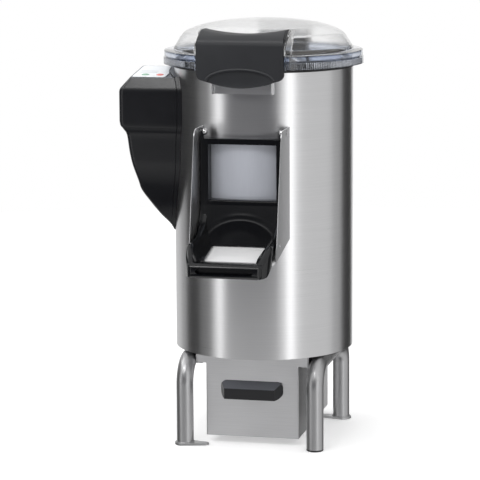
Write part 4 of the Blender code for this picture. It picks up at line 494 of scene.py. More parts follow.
pull_half_width = 0.0710
pull_bottom = 0.1080
pull_top = 0.1450
pull_corner = 0.0140
pull_wall = 0.0050
pull_skin = 0.0030
pull_back = -drawer_front - end_gap
pull_face = pull_back - 0.0300
brow_height = pull_top - 0.0130
overrun = 0.03
shape = slab(rounded(-pull_half_width, pull_bottom, pull_half_width, pull_top, pull_corner),
             "Y", pull_face, pull_back)
slope = slab([(pull_face - overrun, brow_height), (pull_face, brow_height), (pull_back, pull_top),
              (pull_back, pull_top + overrun), (pull_face - overrun, pull_top + overrun)], "X", -0.1, 0.1)
chamfers = []
for side in (-1, 1):
    front_corner = side * (pull_half_width - pull_corner)
    past = side * (pull_half_width + overrun)
    plan = [(front_corner, pull_face), (side * pull_half_width, pull_back), (past, pull_back),
            (past, pull_face - overrun), (front_corner, pull_face - overrun)]
    chamfers.append(slab(plan, "Z", pull_bottom - overrun, pull_top + overrun))
pocket = block((-pull_half_width + 2 * pull_corner, pull_face + pull_wall, pull_bottom - overrun),
               (pull_half_width - 2 * pull_corner, pull_back - pull_skin, brow_height - pull_wall))
fitted("drawer_cup_pull", cut(shape, slope, *chamfers, pocket), satin_abs, "drawer", ["drawer_pull"],
       edge=0.0042, edge_deg=18, edge_steps=5)

# Outer casing: a drum rolled from 1.5 mm satin stainless sheet and butt-welded at the back, with
# the discharge opening cut in front. The grain runs round the drum, so lights stretch upwards.
drum_radius = 0.200
drum_wall = 0.0015
drum_bottom = 0.2077
drum_top = 0.8420
drum_sides = 192

drum_sheet, tree = empty_finish("satin_rolled_stainless_drum")
place = node(tree, "TexCoord").outputs["Object"]
# The 0.1 mm grain is drawn as 1.6 mm streaks round the drum, over slow waves left by the rolls
stretched = node(tree, "Mapping", {"Vector": place, "Scale": (5, 5, 640)})
grain = node(tree, "TexNoise", {"Vector": stretched, "Scale": 1.0, "Detail": 5.0})
slow = node(tree, "Mapping", {"Vector": place, "Scale": (16, 16, 1.5)})
waves = node(tree, "TexNoise", {"Vector": slow, "Scale": 1.0, "Detail": 2.0})
gloss = node(tree, "MapRange", {"Value": grain, "To Min": 0.25, "To Max": 0.34})
tone = node(tree, "Mix", {"Factor": grain, "A": linear("#C4C4C5"), "B": linear("#D3D3D4")}, data_type="RGBA")
fine = node(tree, "Bump", {"Height": grain, "Strength": 0.03, "Distance": 0.0002})
relief = node(tree, "Bump", {"Height": waves, "Strength": 0.12, "Distance": 0.002, "Normal": fine})
round_drum = node(tree, "Tangent", direction_type="RADIAL", axis="Z")
shader = node(tree, "BsdfPrincipled", {"Base Color": tone.outputs[2], "Roughness": gloss, "Metallic": 1.0,
                                       "Anisotropic": 0.50, "Anisotropic Rotation": 0.25, "Normal": relief,
                                       "Tangent": round_drum})
node(tree, "OutputMaterial", {"Surface": shader})


def sleeve(outer, inner, bottom, top):
    """An upright tube about the drum's axis."""
    return turned([(outer, bottom), (outer, top), (inner, top), (inner, bottom)], drum_sides)


def front_opening(half_width, bottom, top):
    """A cutter that goes through the drum's front."""
    return block((-half_width, -drum_radius - overrun, bottom), (half_width, -drum_radius + 2 * overrun, top))


def about_drum(body, angle_deg):
    """Swings a body made at the rear (+Y) round the drum's axis, anticlockwise from above."""
    swing = Matrix.Rotation(math.radians(angle_deg), 3, "Z")
    bmesh.ops.rotate(body, verts=body.verts, cent=(0, 0, 0), matrix=swing)
    return body


def radial_hole(radius, height, angle_deg):
    """A round cutter that goes through the drum's wall."""
    drill = rod(radius, (0, drum_radius - overrun, height), (0, drum_radius + overrun, height), 32)
    return about_drum(drill, angle_deg)


opening_half_width = 0.068
opening_bottom = 0.508
opening_top = 0.690
cable_hole = (0.014, 0.640, 102.0)
water_hole = (0.0084, 0.800, -38.0)
gland_hole = (0.0084, 0.262, 28.0)
shell = cut(sleeve(drum_radius, drum_radius - drum_wall, drum_bottom, drum_top),
            front_opening(opening_half_width, opening_bottom, opening_top),
            radial_hole(*cable_hole), radial_hole(*water_hole), radial_hole(*gland_hole))
fitted("drum_skin", shell, drum_sheet, "machine", ["outer_casing"], edge=0.0004,
       edge_deg=40)

# Rim gasket and base: a rubber edging pressed over the drum's rim, and the dished sheet disc
# welded inside its lower edge.
rim_lap = 0.0040
rim_outside = drum_radius + 0.0022
rim_top = drum_top + 0.0027
outline = [(rim_outside, drum_top - rim_lap), (rim_outside, rim_top), (drum_radius - drum_wall, rim_top),
           (drum_radius - drum_wall, drum_top + end_gap), (drum_radius + end_gap, drum_top + end_gap),
           (drum_radius + end_gap, drum_top - rim_lap)]
fitted("rim_edging", turned(outline, drum_sides), soft_rubber, "machine", ["rim_gasket"],
       edge=0.0008)
dressed("bottom_plate", folded_sheet, edge=0.0010)

# Chamber: a cast aluminium deck with its bearing housing and waste spout, and a sheet lining
# coated with corundum grit that peels the potatoes. A sand casting's skin is pebbled at about 1 mm.
cast_aluminium = patterned("sand_cast_aluminium", [(800, 5)], ("#A9ABAE", "#C6C8CA"), (0.42, 0.62),
                           bump=(0.3, 0.0004), Metallic=1.0)
for name in ("chamber_floor", "bearing_housing"):
    dressed(name, cast_aluminium)
for name in ("waste_spout", "upper_bearing", "lower_bearing", "drive_shaft"):
    dressed(name, bright_steel, edge=0.0003)
dressed("shaft_seal", soft_rubber, edge=0.0003)
dressed("driven_pulley", cast_aluminium, edge=0.0004)
dressed("plate_scrapers", bright_steel, edge=0.0003)

grit, tree = empty_finish("corundum_grit_coating")
place = node(tree, "TexCoord").outputs["Object"]
# Grit 24, grains of about 0.8 mm, drawn 2.5 mm wide so that the cells show; worn tips are paler
grains = node(tree, "TexVoronoi", {"Vector": place, "Scale": 400.0}).outputs["Distance"]
stain = node(tree, "TexNoise", {"Vector": place, "Scale": 12.0, "Detail": 3.0})
tone = node(tree, "Mix", {"Factor": grains, "A": linear("#8A8782"), "B": linear("#4A4744")}, data_type="RGBA")
darker = node(tree, "Mix", {"Factor": stain, "A": tone.outputs[2], "B": linear("#5C5852")}, data_type="RGBA")
relief = node(tree, "Bump", {"Height": grains, "Strength": 0.8, "Distance": 0.0008}, invert=True)
shader = node(tree, "BsdfPrincipled", {"Base Color": darker.outputs[2], "Roughness": 0.85, "IOR": 1.76,
                                       "Normal": relief})
node(tree, "OutputMaterial", {"Surface": shader})

lining_outer = 0.1979
lining_inner = lining_outer - 0.0030
lining_bottom = 0.4930
lining_top = 0.8310
lining_margin = 0.0030
nozzle_hole_radius = 0.0088
lining = cut(sleeve(lining_outer, lining_inner, lining_bottom, lining_top),
             front_opening(opening_half_width + lining_margin, opening_bottom - lining_margin,
                           opening_top + lining_margin),
             radial_hole(nozzle_hole_radius, *water_hole[1:]))
fitted("grit_lining", lining, grit, "machine", ["abrasive_lining"], edge=0.0004,
       edge_deg=40)

# Abrasive plate: a cast disc with three low waves that toss the potatoes, coated with the same
# grit, held by a domed knob on the shaft.
plate_radius = 0.1880
plate_bottom = 0.5000
plate_top = 0.5070
plate_chamfer = 0.0018
plate_skirt = 0.0050
hub_bore = 0.0128
hub_radius = 0.0300
hub_bottom = 0.4890
wave_height = 0.0130
wave_half_width = 0.0340
wave_inner = 0.0400
wave_outer = 0.1780
plate_rings = 40
plate_spokes = 180
spokes = [2 * math.pi * k / plate_spokes for k in range(plate_spokes)]
rows = []
for ring in range(plate_rings + 1):
    reach = hub_bore + (plate_radius - plate_chamfer - hub_bore) * ring / plate_rings
    row = []
    for turn in spokes:
        lift = 0.0
        for wave in range(3):
            heading = turn - math.pi / 2 - 2 * math.pi * wave / 3
            along = reach * math.cos(heading)
            across = reach * math.sin(heading) / wave_half_width
            share = (along - wave_inner) / (wave_outer - wave_inner)
            if 0 < share < 1 and abs(across) < 1:
                crest = math.sin(math.pi * share) ** 0.6 * (1 + math.cos(math.pi * across)) / 2
                lift = max(lift, wave_height * crest)
        row.append((reach * math.cos(turn), reach * math.sin(turn), plate_top + lift))
    rows.append(row)
for reach, height in ((plate_radius, plate_top - plate_chamfer), (plate_radius, plate_bottom - plate_skirt),
                      (plate_radius - plate_skirt, plate_bottom - plate_skirt),
                      (plate_radius - plate_skirt, plate_bottom), (hub_radius, plate_bottom),
                      (hub_radius, hub_bottom), (hub_bore, hub_bottom)):
    rows.append([(reach * math.cos(turn), reach * math.sin(turn), height) for turn in spokes])
fitted("peeling_disc", skinned(rows, ends="joined"), grit, "drive", ["abrasive_plate"],
       edge_deg=40)

knob_low = plate_top + end_gap
knob_recess = 0.5123
knob = [(0, knob_recess), (hub_bore, knob_recess), (hub_bore, knob_low)]
knob += [(r, knob_low + z) for r, z in ((0.016, 0), (0.0168, 0.004), (0.0172, 0.010), (0.016, 0.015),
                                        (0.012, 0.0185), (0.006, 0.0198), (0, 0.020))]
fitted("disc_knob", turned(knob, 48), bright_steel, "drive", ["plate_knob"], edge_deg=60)

# Drive in the base: an enamelled motor on its posts, with a V-belt from its small pulley to the
# large one under the shaft. Sprayed enamel lies in a soft orange-peel about 3 mm wide.
enamel = patterned("grey_blue_motor_enamel", [(30, 4), (320, 2)], ("#2F3C4B", "#46525E"), 0.42,
                   bump=(0.12, 0.0004), IOR=1.5)
dressed("motor_body", enamel)
dressed("motor_bracket", folded_sheet)
dressed("drive_belt", soft_rubber, edge=0.0004)
dressed("motor_pulley", bright_steel, edge=0.0003)

# Discharge chute: two cheeks and a sloping floor folded from 1.5 mm satin sheet and welded to
# the drum round the opening. The cut edges are deburred and shine, and the floor is bead-blasted;
# its faces that look up are drawn near-white, as painted light for the brightness on the floor.
sheet_with_painted_light_floor, tree = empty_finish("satin_sheet_with_painted_light_floor")
place = node(tree, "TexCoord").outputs["Object"]
# The sheet's level grain is drawn 2 mm apart, and the pits that the beads leave, 0.1 mm wide, are
# drawn 1 mm wide
stretched = node(tree, "Mapping", {"Vector": place, "Scale": (9, 9, 520)})
grain = node(tree, "TexNoise", {"Vector": stretched, "Scale": 1.0, "Detail": 4.0})
pits = node(tree, "TexNoise", {"Vector": place, "Scale": 1000.0, "Detail": 2.0})
gloss = node(tree, "MapRange", {"Value": grain, "To Min": 0.32, "To Max": 0.46})
tone = node(tree, "Mix", {"Factor": grain, "A": linear("#C6C6C7"), "B": linear("#D8D8D9")}, data_type="RGBA")
relief = node(tree, "Bump", {"Height": grain, "Strength": 0.04, "Distance": 0.0002})
satin = node(tree, "BsdfPrincipled", {"Base Color": tone.outputs[2], "Roughness": gloss, "Metallic": 1.0,
                                      "Normal": relief})
# The faces that look up take this near-white, barely metallic copy of the sheet: painted light, a lit copy of
# the same steel
painted_light_floor_tone = node(tree, "Mix", {"Factor": pits, "A": linear("#F1F1F2"), "B": linear("#FAFAFA")},
               data_type="RGBA")
pitted = node(tree, "Bump", {"Height": pits, "Strength": 0.10, "Distance": 0.0002})
painted_light_floor_shader = node(tree, "BsdfPrincipled", {"Base Color": painted_light_floor_tone.outputs[2], "Roughness": 0.55,
                                        "Metallic": 0.15, "Normal": pitted})
facing = node(tree, "NewGeometry")
upward = node(tree, "SeparateXYZ", {"Vector": facing.outputs["True Normal"]})
# Mask of the painted light: only faces that look up, the floor, take the near-white copy
painted_light_floor_mask = node(tree, "Math", {0: upward.outputs[2], 1: 0.9}, operation="GREATER_THAN")
shader = node(tree, "MixShader", {0: painted_light_floor_mask, 1: satin, 2: painted_light_floor_shader})
node(tree, "OutputMaterial", {"Surface": shader})

chute_half_width = 0.095
chute_sheet = 0.0015
cheek_top = 0.7210
cheek_front = 0.2625
cheek_round = 0.0200
bend_front = 0.3060
bend_height = 0.4870
toe_front = 0.3190
toe_height = 0.4600
floor_rear_height = 0.4780
floor_front_height = 0.4475
lip_front = 0.3290
lip_drop = 0.0120
toe_round = 0.0160
pivot_front = 0.2070
pivot_height = 0.7110
pivot_radius = 0.0040


def drum_front(x, radius):
    """How far in front of the axis a drum of this radius lies at the given X."""
    return math.sqrt(radius * radius - x * x)


def drum_plug(radius, bottom, top):
    """A solid drum whose flats, not its corners, lie at the radius."""
    return rod(radius / math.cos(math.pi / drum_sides), (0, 0, bottom), (0, 0, top), drum_sides)


def wall(outline, side, inside, outside):
    """A slab that stands on the left or right between two distances from the middle."""
    low, high = sorted((side * inside, side * outside))
    return slab(outline, "X", low, high)


rear = drum_front(chute_half_width, drum_radius)
rear_under = floor_rear_height - chute_sheet
front_under = floor_front_height - chute_sheet
chute_outer = chute_half_width + chute_sheet
floor_outline = [(-rear + overrun, floor_rear_height), (-rear + overrun, rear_under), (-rear, rear_under),
                 (-toe_front, front_under), (-lip_front + chute_sheet, floor_front_height - lip_drop / 2),
                 (-lip_front + chute_sheet / 2, floor_front_height - lip_drop),
                 (-lip_front, floor_front_height - lip_drop), (-lip_front, floor_front_height - lip_drop / 3),
                 (-lip_front + chute_sheet / 2, floor_front_height - lip_drop / 8),
                 (-lip_front + chute_sheet * 2, floor_front_height),
                 (-toe_front, floor_front_height + chute_sheet), (-rear, floor_rear_height)]
chute = slab(floor_outline, "X", -chute_outer, chute_outer)
edge_x = chute_outer + end_gap
toe_y = -lip_front - end_gap
plan = [(edge_x, 0)] + arc(edge_x - toe_round, toe_y + toe_round, toe_round, 0, -90, 14)
plan += [(-x, y) for x, y in reversed(plan)]
toe_shape = slab(plan, "Z", floor_front_height - overrun, floor_rear_height + overrun)
chute = boolean(chute, toe_shape, "INTERSECT")
cheek_outline = [(-rear, cheek_top)]
cheek_outline += arc(-cheek_front + cheek_round, cheek_top - cheek_round, cheek_round, 90, 172, 14)
cheek_outline += [(-bend_front, bend_height), (-toe_front, toe_height), (-toe_front, front_under),
                  (-rear, rear_under)]
for side in (-1, 1):
    hole = rod(pivot_radius + end_gap, (0, -pivot_front, pivot_height),
               (side * (chute_outer + 0.01), -pivot_front, pivot_height), 24)
    chute = fused(chute, cut(wall(cheek_outline, side, chute_half_width, chute_outer), hole))
chute_hollow = drum_plug(drum_radius + end_gap, 0.40, 0.76)
fitted("chute_sheet", cut(chute, chute_hollow), sheet_with_painted_light_floor, "machine", ["discharge_chute"],
       edge=0.0005, edge_steps=2)

# Door pivots and cheek rivets: a shoulder bolt through each cheek, with a polished domed nut on
# the inside, and one low domed rivet near the toe of each cheek, outside.
ear_outside = 0.0930
ear_thickness = 0.0045
ear_inside = ear_outside - ear_thickness
nut_radius = 0.0075
nut_height = 0.0050
nut_crown = 0.0085
nut_bore = 0.0033
bolt_radius = 0.0030
bolt_seat = chute_outer + end_gap - (ear_inside - end_gap) + nut_height
bolt = [(0, 0), (bolt_radius, 0), (bolt_radius, nut_height), (pivot_radius, nut_height),
        (pivot_radius, bolt_seat)]
bolt += [(r, bolt_seat + z) for r, z in ((0.0065, 0), (0.0065, 0.0012), (0.0050, 0.0018), (0.0028, 0.0018),
                                         (0.0026, 0.0008), (0, 0.0008))]
dome = [(nut_bore, 0), (nut_radius - 0.0004, 0), (nut_radius, 0.0004)] + arc(0, 0.0020, nut_radius, 5, 80, 8)
nut = [(r, min(z, nut_crown)) for r, z in dome]
nut += [(0, nut_crown), (0, nut_height + end_gap), (nut_bore, nut_height + end_gap)]
rivet_radius = 0.0034
rivet = [(0, 0), (rivet_radius, 0), (rivet_radius, 0.0002)]
rivet += [(r, z / 2) for r, z in arc(0, 0.0004, rivet_radius, 12, 78, 5)] + [(0, 0.0018)]
rivet_front = 0.280
rivet_height = 0.477
for label, side in both_sides:
    bolt_start = ear_inside - end_gap - nut_height
    shank = moved(turned_along(bolt, 32, "Y", 90 * side), side * bolt_start, -pivot_front, pivot_height)
    fitted(label + "_shoulder_bolt", shank, bright_steel, "machine", [label + "_pivot_bolt"],
           edge=0.0002)
    nut_start = ear_inside - 2 * end_gap
    domed = moved(turned_along(nut, 32, "Y", -90 * side), side * nut_start, -pivot_front, pivot_height)
    fitted(label + "_domed_nut", domed, bright_steel, "machine", [label + "_pivot_nut"],
           edge_deg=60)
for label, side in both_sides:
    head = moved(turned_along(rivet, 24, "Y", 90 * side), side * (chute_outer + 0.0001), -rivet_front,
                 rivet_height)
    fitted(label + "_cheek_rivet", head, bright_steel, "machine", [], edge_deg=50)

# Discharge door: one black moulding with a window frame, side wings, a scooped wall with a raised
# arch line below the window and a U handle. Gloss-moulded ABS: a polished mould leaves a clear
# gloss with slow flow marks about 50 mm wide.
gloss_abs = patterned("gloss_black_abs", [(18, 4)], ("#040508", "#07080C"), (0.16, 0.26), bump=(0.05, 0.001),
                      IOR=1.46)

door_top = 0.6970
door_face = 0.2165
wing_thickness = 0.0042
window_half_width = 0.0755
window_bottom = 0.5640
window_top = 0.6850
ledge_bottom = 0.5530
scoop_foot_front = 0.2440
scoop_foot_height = 0.4680
scoop_wall = 0.0050
arch_half_width = 0.0760
arch_top = 0.5200
arch_depth = 0.0020
floor_clearance = 0.0016
door_clearance = 0.0027
ear_radius = 0.0085
bar_front = 0.3920
bar_back = 0.3550
bar_bottom = 0.4205
bar_top = 0.4530
bar_half_width = 0.0810
groove_depth = 0.0120
groove_half_width = 0.0620
groove_lip = 0.0095
arm_fronts = (0.2190, 0.2367, 0.2767, 0.3230, 0.3430, 0.3670, 0.3850)
arm_outer = (0.0928, 0.0926, 0.0915, 0.0916, 0.0925, 0.0885, 0.0800)
arm_inner = (0.0600, 0.0590, 0.0580, 0.0570, 0.0570, 0.0580, 0.0600)
arm_top = (0.5390, 0.5170, 0.4940, 0.4875, 0.4850, 0.4685, 0.4500)
arm_low = (0.4390, 0.4235, 0.4222)
arm_steps = 5
arm_crest = 0.0150
arm_round = 0.0075


def smoothed(values, steps):
    """More values along the same run, on a curve through the given ones."""
    fuller = []
    last = len(values) - 1
    for k in range(last):
        before, first, second, after = [values[min(max(k + step, 0), last)] for step in (-1, 0, 1, 2)]
        for step in range(steps):
            t = step / steps
            fuller.append(0.5 * (2 * first + (second - before) * t
                                 + (2 * before - 5 * first + 4 * second - after) * t * t
                                 + (3 * first - before - 3 * second + after) * t ** 3))
    return fuller + [values[-1]]


def chute_floor(front):
    """The height of the chute's floor at a distance in front of the axis."""
    share = (front - rear) / (toe_front - rear)
    return floor_rear_height + (floor_front_height + chute_sheet - floor_rear_height) * share


arm_lows = [chute_floor(min(front, toe_front)) + floor_clearance for front in arm_fronts[:4]] + list(arm_low)
arms = []
for side in (-1, 1):
    rings = []
    runs = [smoothed(values, arm_steps) for values in (arm_fronts, arm_outer, arm_inner, arm_top, arm_lows)]
    for front, outer, inner, top, low in zip(*runs):
        crest = outer - arm_crest
        foot = low + 0.004
        section = [(inner, low), (outer - 0.004, low), (outer - 0.001, low + 0.001), (outer, foot)]
        section += arc(outer - arm_round, top - arm_round, arm_round, 0, 90, 6)
        section += [(crest + 0.003, top - 0.0008), (crest, top - 0.0035)]
        for share in (0.15, 0.32, 0.50, 0.68, 0.85):
            section.append((inner + (crest - inner) * (1 - share), foot + (top - foot) * (1 - share) ** 2.2))
        section.append((inner, foot))
        rings.append([(side * x, -front, z) for x, z in section])
    arms.append(skinned(rings, ends="capped"))

frame_half = ear_outside - wing_thickness / 2
back = drum_front(ear_outside, drum_radius)
moulding = block((-frame_half, -door_face, ledge_bottom), (frame_half, -back, door_top))
window = slab(rounded(-window_half_width, window_bottom, window_half_width, window_top, 0.002, 3),
              "Y", -door_face - overrun, 0)
moulding = cut(moulding, window)
wing_foot = chute_floor(arm_fronts[1]) + floor_clearance
sweep = list(zip(smoothed(arm_fronts[:3], arm_steps), smoothed(arm_top[:3], arm_steps)))[:arm_steps + 1]
wing_outline = [(-back, door_top), (-pivot_front + ear_radius, door_top)]
wing_outline += arc(-pivot_front, pivot_height, ear_radius, 0, 180, 16)
wing_outline += [(-door_face, door_top), (-door_face, ledge_bottom)] + [(-front, top) for front, top in sweep]
wing_outline += [(-arm_fronts[1], wing_foot), (-back, chute_floor(back) + floor_clearance)]
for side in (-1, 1):
    wing = wall(wing_outline, side, ear_outside - wing_thickness, ear_outside)
    low, high = sorted((side * ear_inside, side * ear_outside))
    boss = rod(ear_radius, (low, -pivot_front, pivot_height), (high, -pivot_front, pivot_height), 32)
    bore = rod(pivot_radius + end_gap, (side * 0.08, -pivot_front, pivot_height),
               (side * 0.1, -pivot_front, pivot_height), 24)
    moulding = fused(moulding, cut(fused(wing, boss), bore))

# The scooped wall: a bowl under an arch, with a raised line along the arch and a fainter one
# above it
scoop = bmesh.new()
columns = 96
levels = 60
bowl_edge = 1.03
bowl_blend = 0.45
arch_line = 0.0004
upper_line = 0.0003
front_rows = []
rear_rows = []
lean = math.atan2(scoop_foot_front - door_face, ledge_bottom - scoop_foot_height)
for level in range(levels + 1):
    height = scoop_foot_height + (ledge_bottom + 0.004 - scoop_foot_height) * level / levels
    front = scoop_foot_front - math.tan(lean) * (height - scoop_foot_height)
    front_row = []
    rear_row = []
    for column in range(columns + 1):
        x = frame_half * (2 * column / columns - 1)
        ring = math.hypot(x / arch_half_width, (height - scoop_foot_height) / (arch_top - scoop_foot_height))
        bowl = min(max((bowl_edge - ring) / bowl_blend, 0), 1)
        bowl = bowl * bowl * (3 - 2 * bowl)
        raised = arch_line * math.exp(-((ring - 1.00) / 0.05) ** 2)
        raised += upper_line * math.exp(-((ring - 1.22) / 0.07) ** 2 - (x / 0.036) ** 2)
        push = arch_depth * bowl - raised
        front_row.append(scoop.verts.new((x, -front + push * math.cos(lean), height - push * math.sin(lean))))
        rear_row.append(scoop.verts.new((x, -front + scoop_wall + arch_depth * bowl * 0.2, height)))
    front_rows.append(front_row)
    rear_rows.append(rear_row)
for front, front_up, back_row, back_up in zip(front_rows, front_rows[1:], rear_rows, rear_rows[1:]):
    for c in range(columns):
        scoop.faces.new((front[c], front[c + 1], front_up[c + 1], front_up[c]))
        scoop.faces.new((back_row[c + 1], back_row[c], back_up[c], back_up[c + 1]))
    for c, flip in ((0, 1), (columns, -1)):
        scoop.faces.new((front[c], front_up[c], back_up[c], back_row[c])[::flip])
for c in range(columns):
    scoop.faces.new((front_rows[0][c + 1], front_rows[0][c], rear_rows[0][c], rear_rows[0][c + 1]))
    scoop.faces.new((front_rows[-1][c], front_rows[-1][c + 1], rear_rows[-1][c + 1], rear_rows[-1][c]))
outward(scoop)

bar = slab(rounded(-bar_front, bar_bottom, -bar_back, bar_top, 0.0125), "X", -bar_half_width, bar_half_width)
bar_ends = slab(rounded(-bar_half_width, bar_bottom - end_gap, bar_half_width, bar_top + 0.012, 0.016),
                "Y", -bar_front - overrun, -bar_back + overrun)
bar_plan = slab(rounded(-bar_half_width, -bar_front - end_gap, bar_half_width, -bar_back + 0.02, 0.014),
                "Z", bar_bottom - 0.01, bar_top + 0.01)
groove = slab(rounded(-groove_half_width, bar_bottom + groove_lip, groove_half_width, bar_top - groove_lip,
                      0.006, 6), "Y", -bar_front - overrun, -bar_front + groove_depth)
bar = cut(boolean(boolean(bar, bar_ends, "INTERSECT"), bar_plan, "INTERSECT"), groove)
bead_y = -door_face + 0.0004
bead_z = window_bottom - 0.0030
frame_bead = rod(0.0016, (-window_half_width, bead_y, bead_z), (window_half_width, bead_y, bead_z), 24)
moulding = cut(fused(moulding, scoop, *arms), drum_plug(drum_radius + door_clearance, 0.40, 0.75))
fitted("discharge_door", fused(moulding, bar, frame_bead), gloss_abs, "door", ["door_moulding"],
       edge=0.0011, edge_deg=32)

# Closing sheet of the door: stainless rolled to the drum's curve and clipped behind the frame,
# under a bluish satin film that scatters the light. Its short upright grain, 0.1 mm in truth, is
# drawn 1.2 mm wide.
blue_satin = patterned("blue_grey_satin_film_on_stainless", [((850, 850, 30), 3)], ("#BBBEC7", "#C6C9D1"),
                       (0.46, 0.56), bump=(0.05, 0.0002), Metallic=0.45)
panel_half = window_half_width + 0.008
panel_inside = drum_radius + 0.0006
panel_low = opening_bottom - 0.008
panel_high = door_top - end_gap
panel = boolean(sleeve(panel_inside + 0.0015, panel_inside, panel_low, panel_high),
                front_opening(panel_half, panel_low - overrun, panel_high + overrun), "INTERSECT")
fitted("door_closing_sheet", panel, blue_satin, "door", ["door_panel"], edge=0.0003,
       edge_deg=40)
dressed("door_sensor", satin_abs)

# Lid: a dome injection-moulded in clear polycarbonate, 3.2 mm thick, with a stepped flange, a
# ring of fine grip ribs inside the skirt and a rib on each side of the handle.
lid_crown = 0.9430
lid_wall = 0.0032
skirt_radius = 0.2235
skirt_bottom = 0.8453
bead_radius = 0.2215
bead_top = 0.8750
groove_radius = 0.2180
groove_low = 0.8596
groove_high = 0.8634
flange_round = 0.0015
lid_foot = 0.2025
rib_bore = 0.1975
rib_width = 0.0050

clear_plastic, tree = empty_finish("clear_polycarbonate_moulding")
place = node(tree, "TexCoord").outputs["Object"]
# The dome is satin inside and looks milky; the flange is polished. Its tint by height has dark
# bands at the bottom lip, in the groove and under the upper bead: painted shade and a painted
# reflection of the dark gasket. Slow flow waves, 100 mm long, bend what it mirrors.
height = node(tree, "SeparateXYZ", {"Vector": place})
rise_share = node(tree, "MapRange", {"Value": height.outputs[2], "From Min": skirt_bottom,
                                     "From Max": lid_crown})
flow = node(tree, "TexNoise", {"Vector": place, "Scale": 9.0, "Detail": 3.0})
tint_with_painted_shade = node(tree, "ValToRGB", {"Fac": rise_share})
tint_with_painted_shade.color_ramp.elements[0].color = linear("#4E5562")
tint_with_painted_shade.color_ramp.elements[1].color = linear("#FFFFFF")
# The dark steps at share 0, 0.15-0.18 and 0.27-0.29 are painted shade and painted gasket reflection
for share, shade in ((0.02, "#E4E8F0"), (0.14, "#E0E4ED"), (0.15, "#5A616F"), (0.18, "#5A616F"),
                     (0.19, "#D6DBE5"), (0.26, "#D2D8E2"), (0.27, "#747B89"), (0.29, "#747B89"),
                     (0.31, "#FFFFFF")):
    tint_with_painted_shade.color_ramp.elements.new(share).color = linear(shade)
polish = node(tree, "MapRange", {"Value": rise_share, "From Min": 0.29, "From Max": 0.34,
                                 "To Min": 0.02, "To Max": 0.08})
gloss = node(tree, "Math", {0: flow, 1: 0.02, 2: polish}, operation="MULTIPLY_ADD")
relief = node(tree, "Bump", {"Height": flow, "Strength": 0.06, "Distance": 0.003})
shader = node(tree, "BsdfPrincipled", {"Base Color": tint_with_painted_shade, "Roughness": gloss, "IOR": 1.46,
                                       "Transmission Weight": 1.0, "Normal": relief})
node(tree, "OutputMaterial", {"Surface": shader})

dome_radius_shares = (0, 0.30, 0.587, 0.740, 0.858, 0.906, 0.966, 1.0)
dome_height_shares = (1.0, 0.968, 0.862, 0.743, 0.597, 0.457, 0.178, 0.0)
rise = lid_crown - bead_top
dome_radii = smoothed([lid_foot * share for share in dome_radius_shares], 5)
dome_heights = smoothed([bead_top + rise * share for share in dome_height_shares], 5)
outer = list(zip(dome_radii, dome_heights))[:-1]
outer[0] = (0, lid_crown)
outer += [(lid_foot + 0.0006, bead_top + 0.0004), (lid_foot + 0.002, bead_top)]
outer += arc(bead_radius - flange_round, bead_top - flange_round, flange_round, 90, 0, 4)
outer += [(bead_radius, groove_high), (groove_radius, groove_high), (groove_radius, groove_low)]
outer += arc(skirt_radius - flange_round, groove_low - flange_round, flange_round, 90, 0, 4)
outer.append((skirt_radius, skirt_bottom))
under = groove_low - flange_round
skirt_inside = skirt_radius - lid_wall
inner = [(skirt_inside, skirt_bottom), (skirt_inside, under), (rib_bore + rib_width, under),
         (rib_bore + rib_width, skirt_bottom), (rib_bore, skirt_bottom), (rib_bore, bead_top - lid_wall)]
inner_dome = []
for index, (radius, height) in enumerate(list(zip(dome_radii, dome_heights))[:-4]):
    ahead = Vector((dome_radii[index + 1] - radius, dome_heights[index + 1] - height)).normalized()
    inner_dome.append((max(radius + ahead.y * lid_wall, 0), height - ahead.x * lid_wall))
inner_dome[0] = (0, lid_crown - lid_wall)
inner += [point for point in reversed(inner_dome) if point[0] < rib_bore - 0.0004]

# The grip ribs are teeth in the skirt's inner wall, on both sides between the handle and the hinge
grip_teeth = 300
tooth_depth = 0.0012
grip_from_deg = 26
grip_to_deg = 150
rows = []
for index, (radius, height) in enumerate(outer + inner):
    if radius == 0:
        rows.append([(0, 0, height)])
        continue
    row = []
    for k in range(grip_teeth * 2):
        turn = math.pi * k / grip_teeth
        heading = abs(math.degrees(math.atan2(math.cos(turn), -math.sin(turn))))
        toothed = index in (len(outer), len(outer) + 1) and grip_from_deg < heading < grip_to_deg and k % 2
        reach = radius - tooth_depth if toothed else radius
        row.append((reach * math.cos(turn), reach * math.sin(turn), height))
    rows.append(row)
fitted("clear_dome", skinned(rows), clear_plastic, "lid", ["lid_dome"], edge_deg=35)

# Ribs as fine as these trap the light and look dark, so their clear plastic is drawn dark grey: painted
# shade; 1 mm flow specks vary them
painted_shade_rib_plastic = patterned("ribbed_polycarbonate", [(900, 2)], ("#14161C", "#23262E"), 0.25, IOR=1.585)
rib_half = 0.0013
rib_inner = 0.2156
rib_pitch_deg = 1.45
for label, side, first_deg, count in (("left", -1, 30.5, 6), ("right", 1, 27.0, 11)):
    ribs = bmesh.new()
    for k in range(count):
        rib = block((-rib_half, rib_inner, skirt_bottom + 0.0012),
                    (rib_half, skirt_inside - 0.0002, groove_low - 0.0022))
        made = bpy.data.meshes.new("rib")
        about_drum(rib, 180 + side * (first_deg + rib_pitch_deg * k)).to_mesh(made)
        ribs.from_mesh(made)
        bpy.data.meshes.remove(made)
    fitted(label + "_skirt_ribs", ribs, painted_shade_rib_plastic, "lid", [])

